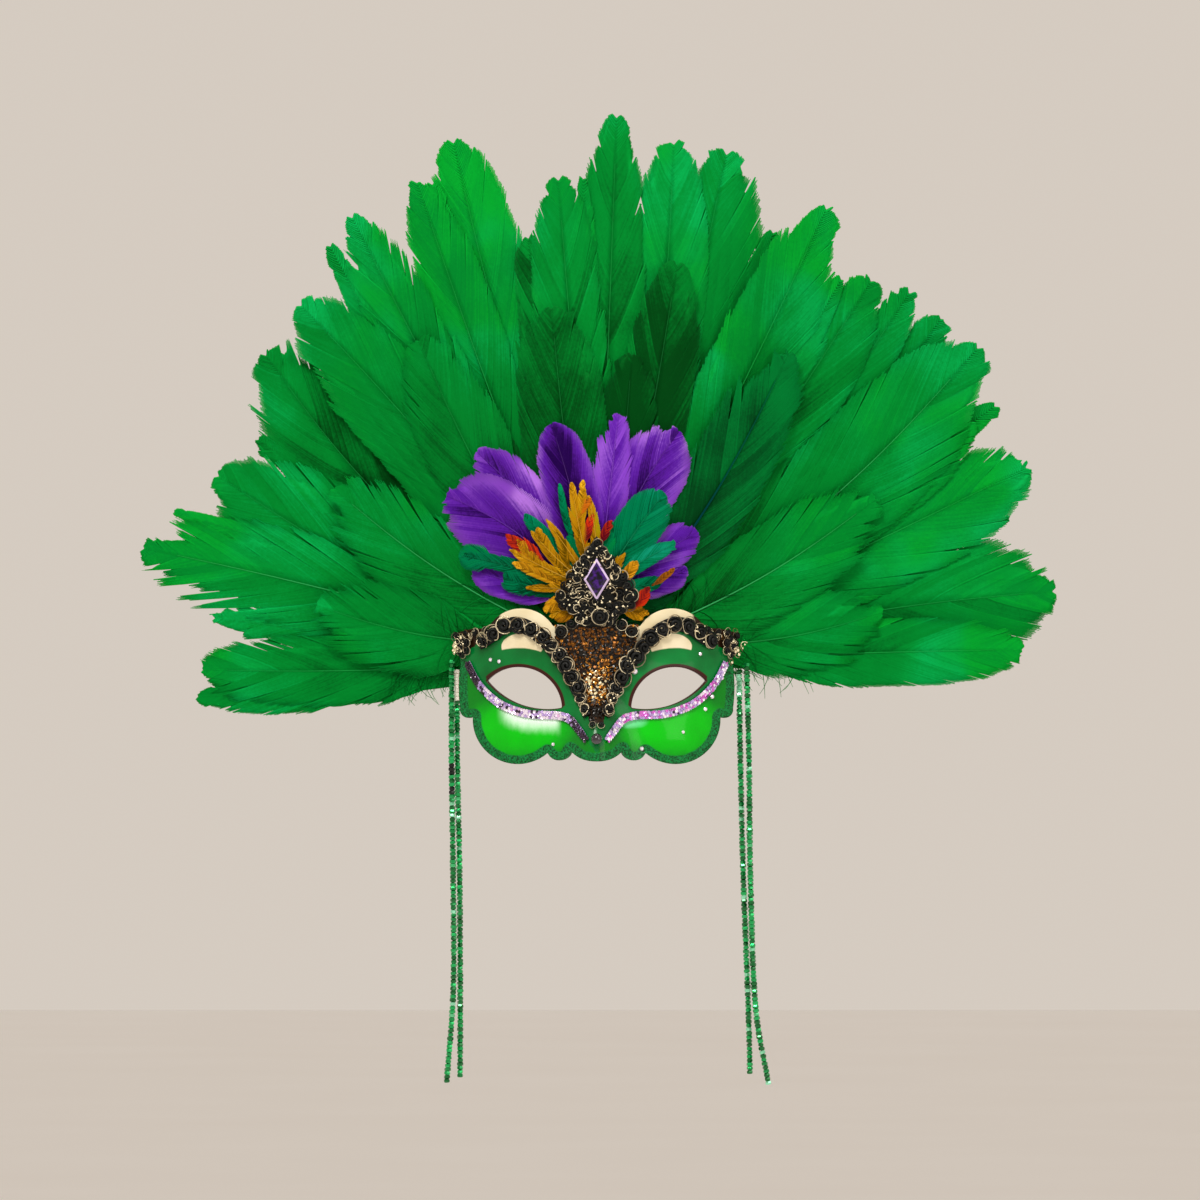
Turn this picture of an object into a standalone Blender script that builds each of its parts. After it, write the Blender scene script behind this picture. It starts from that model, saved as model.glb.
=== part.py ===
"""Feathered eye mask: a moulded half mask with braid, a jewelled crest, a feather fan and bead strings.

The front faces -Y, +X is on the viewer's right and +Z is up. The origin is the inner face of the
nose bridge, where the mask sits on the nose. Every size below is in millimetres; MM turns it into
Blender's metres when a mesh is made.
"""

import math

import bpy
import numpy as np

MM = 0.001

# ---------------------------------------------------------------- driving dimensions
GAP = 0.35  # between pieces that touch
TRIM_GAP = 0.5  # under the long trims, which bend with the face
WALL = 2.0  # thickness of the moulded mask
FACE_RADIUS = 110.0  # the mask wraps round the face on this radius
NOSE_RISE = 17.0  # how far the nose stands out at its tip
NOSE_TOP = 4.0
NOSE_TIP = -40.0
CHEEK_RISE = 3.5  # how far the cheeks puff out
CENTRE_TOP = 36.0  # height of the mask's edge behind the crest

# The fan of feathers lies on one bowl-shaped sheet, each feather in its own layer of it.
BOWL_DEPTH = 62.0  # how far back the sides of the fan sweep
BOWL_REACH = 88.0
BOWL_POWER = 2.4
FAN_TOP_DEPTH = 36.0  # how far back its upper edge leans
FAN_LEAN_START = 80.0
FAN_LEAN_END = 340.0
ROOT_CENTRE_Z = 13.0  # the quills end along an ellipse behind the mask's upper edge
ROOT_HALF_WIDTH = 72.0
ROOT_HEIGHT = 18.0
TUFT_CENTRE_Z = 46.0  # those of the purple feathers end behind the crest
TUFT_HALF_WIDTH = 20.0
TUFT_HEIGHT = 12.0

FAN_PITCH = 2.0  # from one layer of the fan to the next
FAN_FRONT = 3.9  # the foremost green layer, behind the sheet's own face
INNER_LAYERS = 3
OUTER_LAYERS = 4
PURPLE_PITCH = 1.1
PURPLE_FRONT = 0.5
PURPLE_LAYERS = 3
TEAL_LAYER = -1.3
TEAL_LEAN = 0.05  # the tufts lean forward by this much a millimetre
GOLD_LAYER = -2.9
GOLD_LEAN = 0.065
GREEN_THICKNESS = 0.8
PURPLE_THICKNESS = 0.6
QUILL_WIDTH = 2.6

BEAD_PITCH = 8.5
BEAD_RADIUS = 1.75
THREAD_RADIUS = 0.55

# ---------------------------------------------------------------- outlines and routes
# The left half of the mask's edge, from the top of the middle round to the bottom of the middle:
# each row is a corner, and how far the stretch to the next corner bows outwards.
MASK_EDGE = (
    # x, z, bow
    (0.0, CENTRE_TOP, 0.0),
    (-25.5, 34.5, 11.0),  # brow lobe
    (-63.0, 33.0, 1.5),  # temple
    (-83.0, 30.0, -1.0),
    (-79.5, 10.5, 0.8),
    (-79.5, -13.5, 3.0),  # small side lobe
    (-72.0, -19.0, 16.0),  # cheek lobe
    (-28.5, -40.0, 5.0),  # small inner lobe
    (-13.8, -39.0, 1.6),  # half of the nose lobe
    (0.0, -45.0, 0.0),
)
EYE_CENTRE = (-42.0, -2.5)
EYE_HOLE = (
    # x, z, bow
    (-20.0, -13.5, 15.5),  # inner corner, then the upper lid
    (-64.0, 2.5, 6.5),  # outer corner, then the lower lid
)

BRAID_ROUTE = (
    # x, z
    (-67.6, 25.0),
    (-61.0, 28.6),
    (-54.0, 33.2),
    (-46.0, 35.2),
    (-37.0, 31.8),
    (-28.0, 24.6),
    (-20.4, 15.0),
    (-14.2, 5.0),
    (-8.6, -7.0),
    (-4.2, -19.5),
)
TRIM_ROUTE = (
    # x, z
    (-74.6, 13.0),
    (-68.0, 0.6),
    (-58.0, -9.6),
    (-48.0, -15.2),
    (-38.0, -17.8),
    (-23.0, -18.2),
    (-14.2, -21.0),
    (-8.2, -27.8),
    (-4.9, -32.4),
)
STRANDS = (
    # name, depth, route of x, z from the top down
    ("left_outer", 38.5, ((-86.0, 15.0), (-86.0, -50.0), (-85.2, -110.0), (-85.0, -180.0), (-89.0, -236.0))),
    ("left_inner", 42.5, ((-83.0, 9.0), (-82.6, -50.0), (-81.4, -110.0), (-81.0, -180.0), (-81.0, -233.0))),
    ("right_inner", 42.5, ((84.5, 9.0), (85.5, -50.0), (87.0, -112.0), (90.0, -190.0), (91.0, -231.0))),
    ("right_outer", 38.5, ((89.0, 13.0), (90.5, -50.0), (91.2, -112.0), (94.2, -190.0), (102.0, -237.0))),
)
STRAND_SPLIT = 0.5  # each strand is two stretches

# ---------------------------------------------------------------- feathers
FEATHER_SECTIONS = (0.0, 0.1, 0.2, 0.31, 0.43, 0.56, 0.69, 0.8, 0.9, 0.965, 1.0)
# Each row: name, tip x, tip z, greatest width, sideways bow of the quill.
OUTER_FEATHERS = (
    ("plume_left_1", -237.0, 9.0, 41.0, -2.0),
    ("plume_left_2", -273.0, 82.0, 58.0, 3.0),
    ("plume_left_3", -228.0, 126.0, 67.0, -9.0),
    ("plume_left_4", -199.0, 199.0, 67.0, -16.0),
    ("plume_left_5", -178.0, 228.0, 54.0, 6.0),
    ("plume_left_6", -147.0, 281.0, 42.0, -3.0),
    ("plume_left_7", -108.0, 302.0, 38.0, -3.0),
    ("plume_left_8", -86.0, 326.0, 52.0, -4.0),
    ("plume_centre_1", -23.0, 303.0, 42.0, 0.0),
    ("plume_centre_2", 12.0, 341.0, 38.0, 0.0),
    ("plume_centre_3", 46.0, 325.0, 46.0, 10.0),
    ("plume_centre_4", 78.0, 319.0, 68.0, 4.0),
    ("plume_right_1", 138.0, 286.0, 49.0, 3.0),
    ("plume_right_2", 165.0, 243.0, 48.0, 5.0),
    ("plume_right_3", 188.0, 236.0, 37.0, 10.0),
    ("plume_right_4", 207.0, 221.0, 42.0, 16.0),
    ("plume_right_5", 229.0, 203.0, 66.0, 14.0),
    ("plume_right_6", 225.0, 159.0, 44.0, 5.0),
    ("plume_right_7", 259.0, 131.0, 58.0, 3.0),
    ("plume_right_8", 275.0, 56.0, 70.0, -5.0),
    ("plume_right_9", 256.0, 21.0, 38.0, -1.0),
)
INNER_FEATHERS = (
    ("inner_left_1", -168.0, 48.0, 48.0, -5.0),
    ("inner_left_2", -158.0, 118.0, 52.0, -6.0),
    ("inner_left_3", -107.0, 207.0, 50.0, -6.0),
    ("inner_left_4", -27.0, 225.0, 48.0, -2.0),
    ("inner_right_1", 21.0, 197.0, 36.0, 2.0),
    ("inner_right_2", 48.0, 252.0, 40.0, 3.0),
    ("inner_right_3", 115.0, 199.0, 46.0, 7.0),
    ("inner_right_4", 168.0, 112.0, 52.0, 6.0),
    ("inner_right_5", 172.0, 44.0, 46.0, 5.0),
)
PURPLE_FEATHERS = (
    ("purple_feather_1", -74.0, 68.0, 21.0, 0.0),
    ("purple_feather_2", -90.0, 113.0, 43.0, 7.0),
    ("purple_feather_3", -71.5, 139.0, 28.0, 5.0),
    ("purple_feather_4", -27.0, 155.0, 29.0, 2.0),
    ("purple_feather_5", 13.0, 161.0, 22.0, 0.0),
    ("purple_feather_6", 49.0, 151.0, 40.0, -6.0),
    ("purple_feather_7", 60.0, 91.0, 23.0, -2.0),
    ("purple_feather_8", 54.0, 68.0, 18.0, -1.0),
)
TUFT_HEAD = (0.0, 54.5)
TUFT_HEAD_RADIUS = 9.0
TUFT_HEAD_THICKNESS = 1.2
TUFT_SECTIONS = (0.0, 0.18, 0.38, 0.62, 0.85, 1.0)
TEAL_TIPS = (
    # x, z, width
    (-80.0, 77.0, 9.0),
    (-48.0, 57.5, 10.0),
    (-43.0, 101.0, 9.0),
    (-17.0, 88.0, 8.0),
    (8.0, 91.0, 9.0),
    (40.0, 114.0, 26.0),
    (47.0, 84.0, 10.0),
    (39.0, 62.0, 9.0),
)
GOLD_TIPS = (
    # x, z, width
    (-42.0, 57.0, 5.0),
    (-52.0, 80.0, 6.0),
    (-39.0, 91.0, 5.0),
    (-30.0, 98.0, 5.0),
    (-15.0, 120.0, 8.0),
    (-5.0, 112.0, 6.0),
    (17.0, 78.0, 6.0),
    (26.5, 38.5, 7.0),
    (-28.0, 40.0, 7.0),
)

# ---------------------------------------------------------------- crest and small pieces
PLATE_FOOT = 34.3  # its lower edge meets the mask's upper edge
PLATE_BACK = -2.6
PLATE_TILT = 0.12  # it leans forward over the feathers by this much a millimetre
PLATE_CENTRE = (0.0, 60.0)
PLATE_CORNERS = (
    # x, z
    (0.0, 87.5),
    (-25.0, 50.5),
    (-12.0, 39.5),
    (-10.0, PLATE_FOOT),
    (10.0, PLATE_FOOT),
    (12.0, 39.5),
    (25.0, 50.5),
)
PLATE_THICKNESS = 2.0
PLATE_RIM = 3.6
PLATE_SCALLOP = 6.0  # one knot of the braided edge
SCALLOP_RISE = 1.0
GEM_CENTRE = (0.0, 62.0)
GEM_HALF_WIDTH = 7.6
GEM_HALF_HEIGHT = 12.5
GEM_GIRDLE = 1.4
GEM_TABLE = 4.2
KNOT_CENTRE = (2.0, 40.2)
KNOT_RADIUS = 5.0
KNOT_RISE = 4.6
LOZENGE_CENTRE = (1.5, 20.5)
LOZENGE_HALF_WIDTH = 14.5
LOZENGE_HALF_HEIGHT = 13.0
LOZENGE_THICKNESS = 1.2
ROSETTE_CENTRE = (-76.8, 22.6)
ROSETTE_RADIUS = 7.4
ROSETTE_RISE = 4.6
ROSETTE_LOBES = 6
BRAID_HALF_WIDTH = 5.6
BRAID_HALF_THICKNESS = 2.6
BRAID_KNOTS = 11
TRIM_HALF_WIDTH = 2.8
TRIM_THICKNESS = 1.3
TRIM_STEPS = 26
NOSE_BEAD = (0.0, -33.4)
NOSE_BEAD_RADIUS = 3.4

MATERIALS = {
    # base colour, roughness, metallic
    "green_lacquer": ((0.03, 0.42, 0.20), 0.25, 0.8),
    "black_braid": ((0.02, 0.02, 0.02), 0.7, 0.0),
    "lilac_sequin": ((0.72, 0.55, 0.80), 0.3, 0.3),
    "purple_stone": ((0.16, 0.03, 0.30), 0.08, 0.0),
    "gold_glitter": ((0.75, 0.48, 0.10), 0.35, 0.9),
    "green_feather": ((0.0, 0.22, 0.07), 0.6, 0.0),
    "purple_feather": ((0.18, 0.03, 0.38), 0.6, 0.0),
    "teal_feather": ((0.0, 0.28, 0.20), 0.6, 0.0),
    "gold_feather": ((0.70, 0.28, 0.03), 0.6, 0.0),
    "green_bead": ((0.01, 0.30, 0.16), 0.2, 0.6),
    "black_bead": ((0.01, 0.01, 0.01), 0.1, 0.0),
}


# ---------------------------------------------------------------- curves and surfaces
def smoothstep(low, high, value):
    """0 below low, 1 above high, and an S-shaped rise between them."""
    share = np.clip((np.asarray(value, float) - low) / (high - low), 0.0, 1.0)
    return share * share * (3.0 - 2.0 * share)


def bowed(corners, step, closed=False):
    """The points of an outline whose stretches are arcs, each bowed to the right of its travel."""
    points = []
    ends = list(corners[1:]) + ([corners[0]] if closed else [])
    for (x, z, bow), end in zip(corners, ends):
        start = np.array([x, z])
        along = np.array(end[:2]) - start
        half = np.linalg.norm(along) / 2
        right = np.array([along[1], -along[0]]) / (2 * half)
        count = max(2, math.ceil(2 * half / step))
        for share in np.arange(count) / count:
            rise = 0.0
            if bow:
                radius = (half * half + bow * bow) / (2 * abs(bow))
                across = half * (2 * share - 1)
                rise = math.copysign(math.sqrt(radius**2 - across**2) - radius + abs(bow), bow)
            points.append(start + along * share + right * rise)
    if not closed:
        points.append(np.array(corners[-1][:2]))
    return np.array(points)


def smooth_route(points, count):
    """A smooth curve through the points, as `count` points at even spacing along it."""
    knots = np.array(points, float)
    padded = np.vstack([2 * knots[0] - knots[1], knots, 2 * knots[-1] - knots[-2]])
    share = np.linspace(0.0, 1.0, 12, endpoint=False)[:, None]
    fine = []
    for a, b, c, d in zip(padded, padded[1:], padded[2:], padded[3:]):
        bend = (2 * a - 5 * b + 4 * c - d) * share**2 + (3 * b - a - 3 * c + d) * share**3
        fine.append((2 * b + (c - a) * share + bend) / 2)
    fine = np.vstack(fine + [knots[-1:]])
    travelled = np.concatenate([[0.0], np.cumsum(np.linalg.norm(np.diff(fine, axis=0), axis=1))])
    even = np.linspace(0.0, travelled[-1], count)
    return np.stack([np.interp(even, travelled, column) for column in fine.T], axis=1)


def face_depth(x, z):
    """Y of the mask's inner face: a cylinder round the face, less the nose and the puffed cheeks."""
    x = np.asarray(x, float)
    z = np.asarray(z, float)
    wrap = FACE_RADIUS - np.sqrt(FACE_RADIUS**2 - np.minimum(np.abs(x), 90.0) ** 2)
    down = smoothstep(NOSE_TOP, NOSE_TIP, z)
    nose = NOSE_RISE * down * np.exp(-((x / (9.0 + 5.0 * down)) ** 2))
    cheek = CHEEK_RISE * np.exp(-(((np.abs(x) - 47.0) / 17.0) ** 2) - ((z + 30.0) / 13.0) ** 2)
    brow = CHEEK_RISE * np.exp(-(((np.abs(x) - 46.0) / 20.0) ** 2) - ((z - 30.0) / 12.0) ** 2)
    start = NOSE_RISE * smoothstep(NOSE_TOP, NOSE_TIP, 0.0)
    return wrap - nose - cheek - brow + start


def on_face(x, z, lift):
    """The point at x, z on the mask's inner face, moved outwards along the surface's normal."""
    x = np.asarray(x, float)
    z = np.asarray(z, float)
    slope_x = (face_depth(x + 0.5, z) - face_depth(x - 0.5, z)) / 1.0
    slope_z = (face_depth(x, z + 0.5) - face_depth(x, z - 0.5)) / 1.0
    normal = np.stack([slope_x, -np.ones_like(slope_x), slope_z], axis=-1)
    normal /= np.linalg.norm(normal, axis=-1, keepdims=True)
    point = np.stack([x, face_depth(x, z), z], axis=-1)
    return point + normal * np.asarray(lift, float)[..., None], normal


def fan_depth(x, z):
    """Y of the sheet that the feathers lie on: round the mask below, flatter and leaning back above."""
    bowl = BOWL_DEPTH * (1.0 - np.exp(-((np.abs(x) / BOWL_REACH) ** BOWL_POWER)))
    lean = smoothstep(FAN_LEAN_START, FAN_LEAN_END, z)
    return bowl * (1.0 - lean) + FAN_TOP_DEPTH * lean


# ---------------------------------------------------------------- making objects
def material(name):
    made = bpy.data.materials.new(name)
    made.use_nodes = True
    colour, roughness, metallic = MATERIALS[name]
    shader = made.node_tree.nodes["Principled BSDF"]
    shader.inputs["Base Color"].default_value = (*colour, 1.0)
    shader.inputs["Roughness"].default_value = roughness
    shader.inputs["Metallic"].default_value = metallic
    return made


def add_piece(name, points, faces, finish):
    """One mesh object from points in millimetres."""
    mesh = bpy.data.meshes.new(name)
    mesh.from_pydata((np.asarray(points) * MM).tolist(), [], [tuple(int(i) for i in f) for f in faces])
    mesh.materials.append(finish)
    mesh.validate()
    piece = bpy.data.objects.new(name, mesh)
    bpy.context.scene.collection.objects.link(piece)
    return piece


def skin(name, rings, finish, blade=False):
    """A closed solid through a row of equal rings, with flat ends. Its faces are turned to point out.

    A blade's four-sided rings get matching diagonals before and behind, so that its bent sides can't cross.
    """
    rings = np.asarray(rings, float)
    count, around = rings.shape[:2]
    faces = []
    for ring in range(count - 1):
        for i in range(around):
            j = (i + 1) % around
            a, b = ring * around, (ring + 1) * around
            if not blade:
                faces.append((a + i, a + j, b + j, b + i))
            elif i % 2:
                faces += [(a + i, a + j, b + i), (a + j, b + j, b + i)]
            else:
                faces += [(a + i, a + j, b + j), (a + i, b + j, b + i)]
    faces.append(tuple(range(around))[::-1])
    faces.append(tuple(range((count - 1) * around, count * around)))
    piece = add_piece(name, rings.reshape(-1, 3), faces, finish)
    if signed_volume(piece.data) < 0:
        piece.data.flip_normals()
    return piece


def signed_volume(mesh):
    mesh.calc_loop_triangles()
    points = np.empty(len(mesh.vertices) * 3)
    mesh.vertices.foreach_get("co", points)
    corners = points.reshape(-1, 3)[[list(t.vertices) for t in mesh.loop_triangles]]
    return np.linalg.det(corners).sum()


def mirrored(rings):
    return np.asarray(rings) * np.array([-1.0, 1.0, 1.0])


# ---------------------------------------------------------------- mask
def mask_shell(finish):
    """Half of the wall as rings from the eye hole out to the edge, mirrored and given its thickness."""
    edge = bowed(MASK_EDGE, 6.8)
    middle = np.linspace(edge[-1], edge[0], 11)[1:-1]
    outer = np.vstack([edge, middle])
    hole = bowed(EYE_HOLE, 0.5, closed=True) - EYE_CENTRE
    hole_angle = np.arctan2(hole[:, 1], hole[:, 0])
    order = np.argsort(hole_angle)
    reach = np.linalg.norm(hole, axis=1)[order]
    spoke = outer - EYE_CENTRE
    angle = np.arctan2(spoke[:, 1], spoke[:, 0])
    radius = np.interp(angle, hole_angle[order], reach, period=2 * math.pi)
    inner = EYE_CENTRE + radius[:, None] * np.stack([np.cos(angle), np.sin(angle)], axis=1)
    shares = np.linspace(0.0, 1.0, 6)[:, None, None]
    grid = inner + (outer - inner) * shares
    x, z = grid[..., 0], grid[..., 1]
    points = np.stack([x, face_depth(x, z), z], axis=-1).reshape(-1, 3)
    count = len(outer)
    faces = []
    for ring in range(len(shares) - 1):
        for i in range(count):
            j = (i + 1) % count
            a = ring * count
            faces.append((a + i, a + j, a + count + j, a + count + i))
    piece = add_piece("mask_shell", points, faces, finish)
    if piece.data.polygons[0].normal.y > 0:
        piece.data.flip_normals()
    halves = piece.modifiers.new("halves", "MIRROR")
    halves.merge_threshold = 0.0001
    wall = piece.modifiers.new("wall", "SOLIDIFY")
    wall.thickness = WALL * MM
    wall.offset = 1.0
    wall.use_even_offset = True
    return piece


def along_face(route, lift):
    """Points on the face under a route, with the outward normal and the direction across the route."""
    point, normal = on_face(route[:, 0], route[:, 1], np.full(len(route), lift))
    along = np.gradient(point, axis=0)
    across = np.cross(normal, along)
    across /= np.linalg.norm(across, axis=1, keepdims=True)
    return point, normal, across


def braid_rings():
    """A row of knots along the brow, smaller on the nose where the two braids meet."""
    knot = ((0.0, 0.62), (0.30, 0.97), (0.70, 0.97))
    shares = [(k + at) / BRAID_KNOTS for k in range(BRAID_KNOTS) for at, _ in knot] + [1.0]
    sizes = [size for _ in range(BRAID_KNOTS) for _, size in knot] + [knot[0][1]]
    route = smooth_route(BRAID_ROUTE, 400)
    route = np.stack([np.interp(shares, np.linspace(0, 1, 400), column) for column in route.T], axis=1)
    taper = 0.60 + 0.40 * smoothstep(-20.0, 2.0, route[:, 1])
    size = np.array(sizes) * taper
    lift = WALL + TRIM_GAP + BRAID_HALF_THICKNESS
    point, normal, across = along_face(route, lift)
    turn = np.linspace(0.0, 2 * math.pi, 7, endpoint=False)
    side = across[:, None] * (np.cos(turn) * BRAID_HALF_WIDTH)[None, :, None]
    rise = normal[:, None] * (np.sin(turn) * BRAID_HALF_THICKNESS)[None, :, None]
    return point[:, None] + (side + rise) * size[:, None, None]


def trim_rings():
    """A flat strip under the eye."""
    route = smooth_route(TRIM_ROUTE, TRIM_STEPS)
    narrow = 0.62 + 0.38 * smoothstep(-37.0, -27.0, route[:, 1])
    low, normal, across = along_face(route, WALL + TRIM_GAP)
    side = across * (TRIM_HALF_WIDTH * narrow)[:, None]
    high = low + normal * TRIM_THICKNESS
    return np.stack([low - side, low + side, high + side * 0.8, high - side * 0.8], axis=1)


def turned_rings(base, axis, profile, sides, lobes=0, lobe_depth=0.0):
    """Rings of the given radius and height round an axis, with optional lobes like petals."""
    axis = np.asarray(axis, float)
    first = np.cross(axis, (0.0, 0.0, 1.0))
    first /= np.linalg.norm(first)
    second = np.cross(axis, first)
    turn = np.linspace(0.0, 2 * math.pi, sides, endpoint=False)
    petal = 1.0 + lobe_depth * np.cos(lobes * turn)
    circle = first * (np.cos(turn) * petal)[:, None] + second * (np.sin(turn) * petal)[:, None]
    return np.array([base + axis * height + circle * radius for radius, height in profile])


def dome(radius, rise, steps=3):
    """Profile rows of a cushion-shaped button."""
    rows = [(radius * 0.82, 0.0)]
    for step in range(steps + 1):
        angle = math.radians(15 + 62 * step / steps)
        rows.append((radius * math.cos(angle) / math.cos(math.radians(15)), rise * math.sin(angle)))
    return rows


def ball(radius, steps=6):
    """Profile rows of a ball that rests at height 0."""
    angles = [math.radians(-78 + 156 * step / steps) for step in range(steps + 1)]
    return [(radius * math.cos(a), radius * (1 + math.sin(a))) for a in angles]


def rosette_rings():
    base, axis = on_face(ROSETTE_CENTRE[0], ROSETTE_CENTRE[1], WALL + GAP + 0.6)
    profile = dome(ROSETTE_RADIUS, ROSETTE_RISE)
    return turned_rings(base, axis, profile, 18, ROSETTE_LOBES, 0.10)


def nose_bead_rings():
    base, axis = on_face(NOSE_BEAD[0], NOSE_BEAD[1], WALL + GAP)
    return turned_rings(base, axis, ball(NOSE_BEAD_RADIUS), 10)


def lozenge_rings():
    """A diamond panel that follows the brow, as rings that run over its edge from back to front."""
    corner = np.array([(1.0, 0.0), (0.0, 1.0), (-1.0, 0.0), (0.0, -1.0)])
    share = np.arange(4)[:, None] / 4
    outline = np.vstack([a + (b - a) * share for a, b in zip(corner, np.roll(corner, -1, axis=0))])
    outline *= (LOZENGE_HALF_WIDTH, LOZENGE_HALF_HEIGHT)
    rows = ((0.15, 0.0), (0.55, 0.0), (1.0, 0.0), (1.0, 0.7), (0.90, 1.0), (0.55, 1.0), (0.15, 1.0))
    rings = []
    for scale, share in rows:
        x, z = (outline * scale + LOZENGE_CENTRE).T
        rings.append(on_face(x, z, np.full(len(x), WALL + GAP + LOZENGE_THICKNESS * share))[0])
    return rings


# ---------------------------------------------------------------- crest
def on_plate(points, lift):
    """Points of the crest's leaning plane, at a height over the back of the plate."""
    x, z = np.asarray(points, float).T
    y = PLATE_BACK - (z - PLATE_FOOT) * PLATE_TILT - lift
    return np.stack([x, y, z], axis=1)


def scalloped(corners, pitch, rise):
    """An outline whose straight sides are rows of small outward arcs."""
    rows = []
    for start, end in zip(corners, corners[1:] + corners[:1]):
        start, along = np.array(start), np.array(end) - np.array(start)
        count = max(1, round(np.linalg.norm(along) / pitch))
        rows += [(*(start + along * k / count), rise) for k in range(count)]
    return bowed(rows, pitch * 0.6, closed=True)


def plate_rings():
    edge = scalloped(PLATE_CORNERS, PLATE_SCALLOP, SCALLOP_RISE)
    rows = ((1.0, 0.0), (1.0, 1.4), (0.93, PLATE_RIM), (0.84, PLATE_RIM), (0.78, PLATE_THICKNESS))
    return [on_plate((edge - PLATE_CENTRE) * scale + PLATE_CENTRE, lift) for scale, lift in rows]


def gem_rings():
    corner = np.array([(1.0, 0.0), (0.0, 1.0), (-1.0, 0.0), (0.0, -1.0)])
    corner = corner * (GEM_HALF_WIDTH, GEM_HALF_HEIGHT)
    foot = PLATE_THICKNESS + GAP
    rows = ((0.9, foot), (1.0, foot + GEM_GIRDLE), (0.62, foot + GEM_TABLE))
    return [on_plate(corner * scale + GEM_CENTRE, lift) for scale, lift in rows]


def knot_rings():
    base = on_plate([KNOT_CENTRE], PLATE_RIM + GAP)[0]
    return turned_rings(base, (0.0, -1.0, 0.0), dome(KNOT_RADIUS, KNOT_RISE), 14)


# ---------------------------------------------------------------- feathers
def feather_width(share):
    """Half width of a feather along its quill, as a share of its greatest half width."""
    flare = smoothstep(-0.02, 0.42, share)
    round_off = np.sqrt(np.clip(1.0 - (np.clip(share - 0.70, 0.0, 1.0) / 0.30) ** 2.2, 0.0, 1.0))
    return flare * round_off


def root_of(tip, centre_z, half_width, height):
    """Where a quill ends: on an ellipse, in the direction of its tip."""
    angle = math.atan2(tip[1] / height, tip[0] / half_width)
    return np.array([half_width * math.cos(angle), centre_z + height * math.sin(angle)])


def feather_rings(row, root, layer, lean, thickness, shares):
    """Four-sided sections from the quill's end to the tip: an edge, the quill's ridge, an edge, its back."""
    _, tip_x, tip_z, width, bow = row
    tip = np.array([tip_x, tip_z])
    share = np.array(shares)
    along = tip - root
    length = np.linalg.norm(along)
    right = np.array([along[1], -along[0]]) / length
    middle = root + along * share[:, None] + right * (bow * np.sin(math.pi * share))[:, None]
    heading = np.gradient(middle, axis=0)
    heading /= np.linalg.norm(heading, axis=1, keepdims=True)
    across = np.stack([heading[:, 1], -heading[:, 0]], axis=1)
    half = np.maximum(feather_width(share) * width / 2, QUILL_WIDTH / 2 * (1.0 - 0.6 * share))
    half = half[:, None]
    ridge = np.minimum(thickness / 2, half[:, 0])
    left, right = middle - across * half, middle + across * half
    sections = []
    for flat, lift in ((left, 0.0), (middle, -1.0), (right, 0.0), (middle, 1.0)):
        y = fan_depth(flat[:, 0], flat[:, 1]) + layer - lean * length * share + lift * ridge
        sections.append(np.stack([flat[:, 0], y, flat[:, 1]], axis=1))
    return np.stack(sections, axis=1)


def add_feathers(rows, roots, front, pitch, layers, thickness, finish):
    for index, row in enumerate(rows):
        layer = front + pitch * (index % layers)
        root = root_of(np.array(row[1:3]) - (0.0, roots[0]), *roots)
        rings = feather_rings(row, root, layer, 0.0, thickness, FEATHER_SECTIONS)
        skin(row[0], rings, finish, blade=True)


def add_tuft(name, tips, layer, lean, finish):
    """Small feathers fused to a round flat head."""
    head = np.array(TUFT_HEAD)
    rings = turned_rings(
        (head[0], layer - TUFT_HEAD_THICKNESS / 2, head[1]),
        (0.0, 1.0, 0.0),
        [(TUFT_HEAD_RADIUS * size, TUFT_HEAD_THICKNESS * at) for size, at in ((0.9, 0), (1, 0.5), (0.9, 1))],
        16,
    )
    tuft = skin(name, rings, finish)
    for index, (x, z, width) in enumerate(tips):
        tip = np.array([x, z])
        root = head + (tip - head) * (TUFT_HEAD_RADIUS / 2 / np.linalg.norm(tip - head))
        sections = feather_rings(("", x, z, width, 0.0), root, layer, lean, PURPLE_THICKNESS, TUFT_SECTIONS)
        blade = skin(f"{name}_blade_{index}", sections, finish, blade=True)
        blade.hide_render = True
        blade.display_type = "WIRE"
        join = tuft.modifiers.new(blade.name, "BOOLEAN")
        join.operation = "UNION"
        join.solver = "MANIFOLD"  # the thin blades cross at too small an angle for EXACT
        join.object = blade


# ---------------------------------------------------------------- bead strings
def add_strand(name, depth, route, finish):
    """Two stretches of small beads on a thread, from the temple down."""
    whole = smooth_route(route, 400)
    length = np.linalg.norm(np.diff(whole, axis=0), axis=1).sum()
    beads = round(length / BEAD_PITCH)
    upper = round(beads * STRAND_SPLIT)
    for part, first, last in (("upper", 0, upper), ("lower", upper, beads)):
        profile = [(first, THREAD_RADIUS)]
        for bead in range(first, last):
            profile += [(bead + 0.5, BEAD_RADIUS), (bead + 1.0, THREAD_RADIUS)]
        place = np.array([at for at, _ in profile], float)
        place[0] += 0.1 * (first > 0)
        middle = [np.interp(place / beads, np.linspace(0, 1, 400), column) for column in whole.T]
        turn = np.linspace(0.0, 2 * math.pi, 5, endpoint=False)
        rings = []
        for x, z, (_, radius) in zip(*middle, profile):
            around = np.stack([np.cos(turn), np.sin(turn), 0 * turn], axis=1) * radius
            rings.append(around + (x, depth, z))
        skin(f"strand_{name}_{part}", rings, finish)


# ---------------------------------------------------------------- assembly
def clear_scene():
    for old in list(bpy.data.objects):
        bpy.data.objects.remove(old, do_unlink=True)


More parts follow.
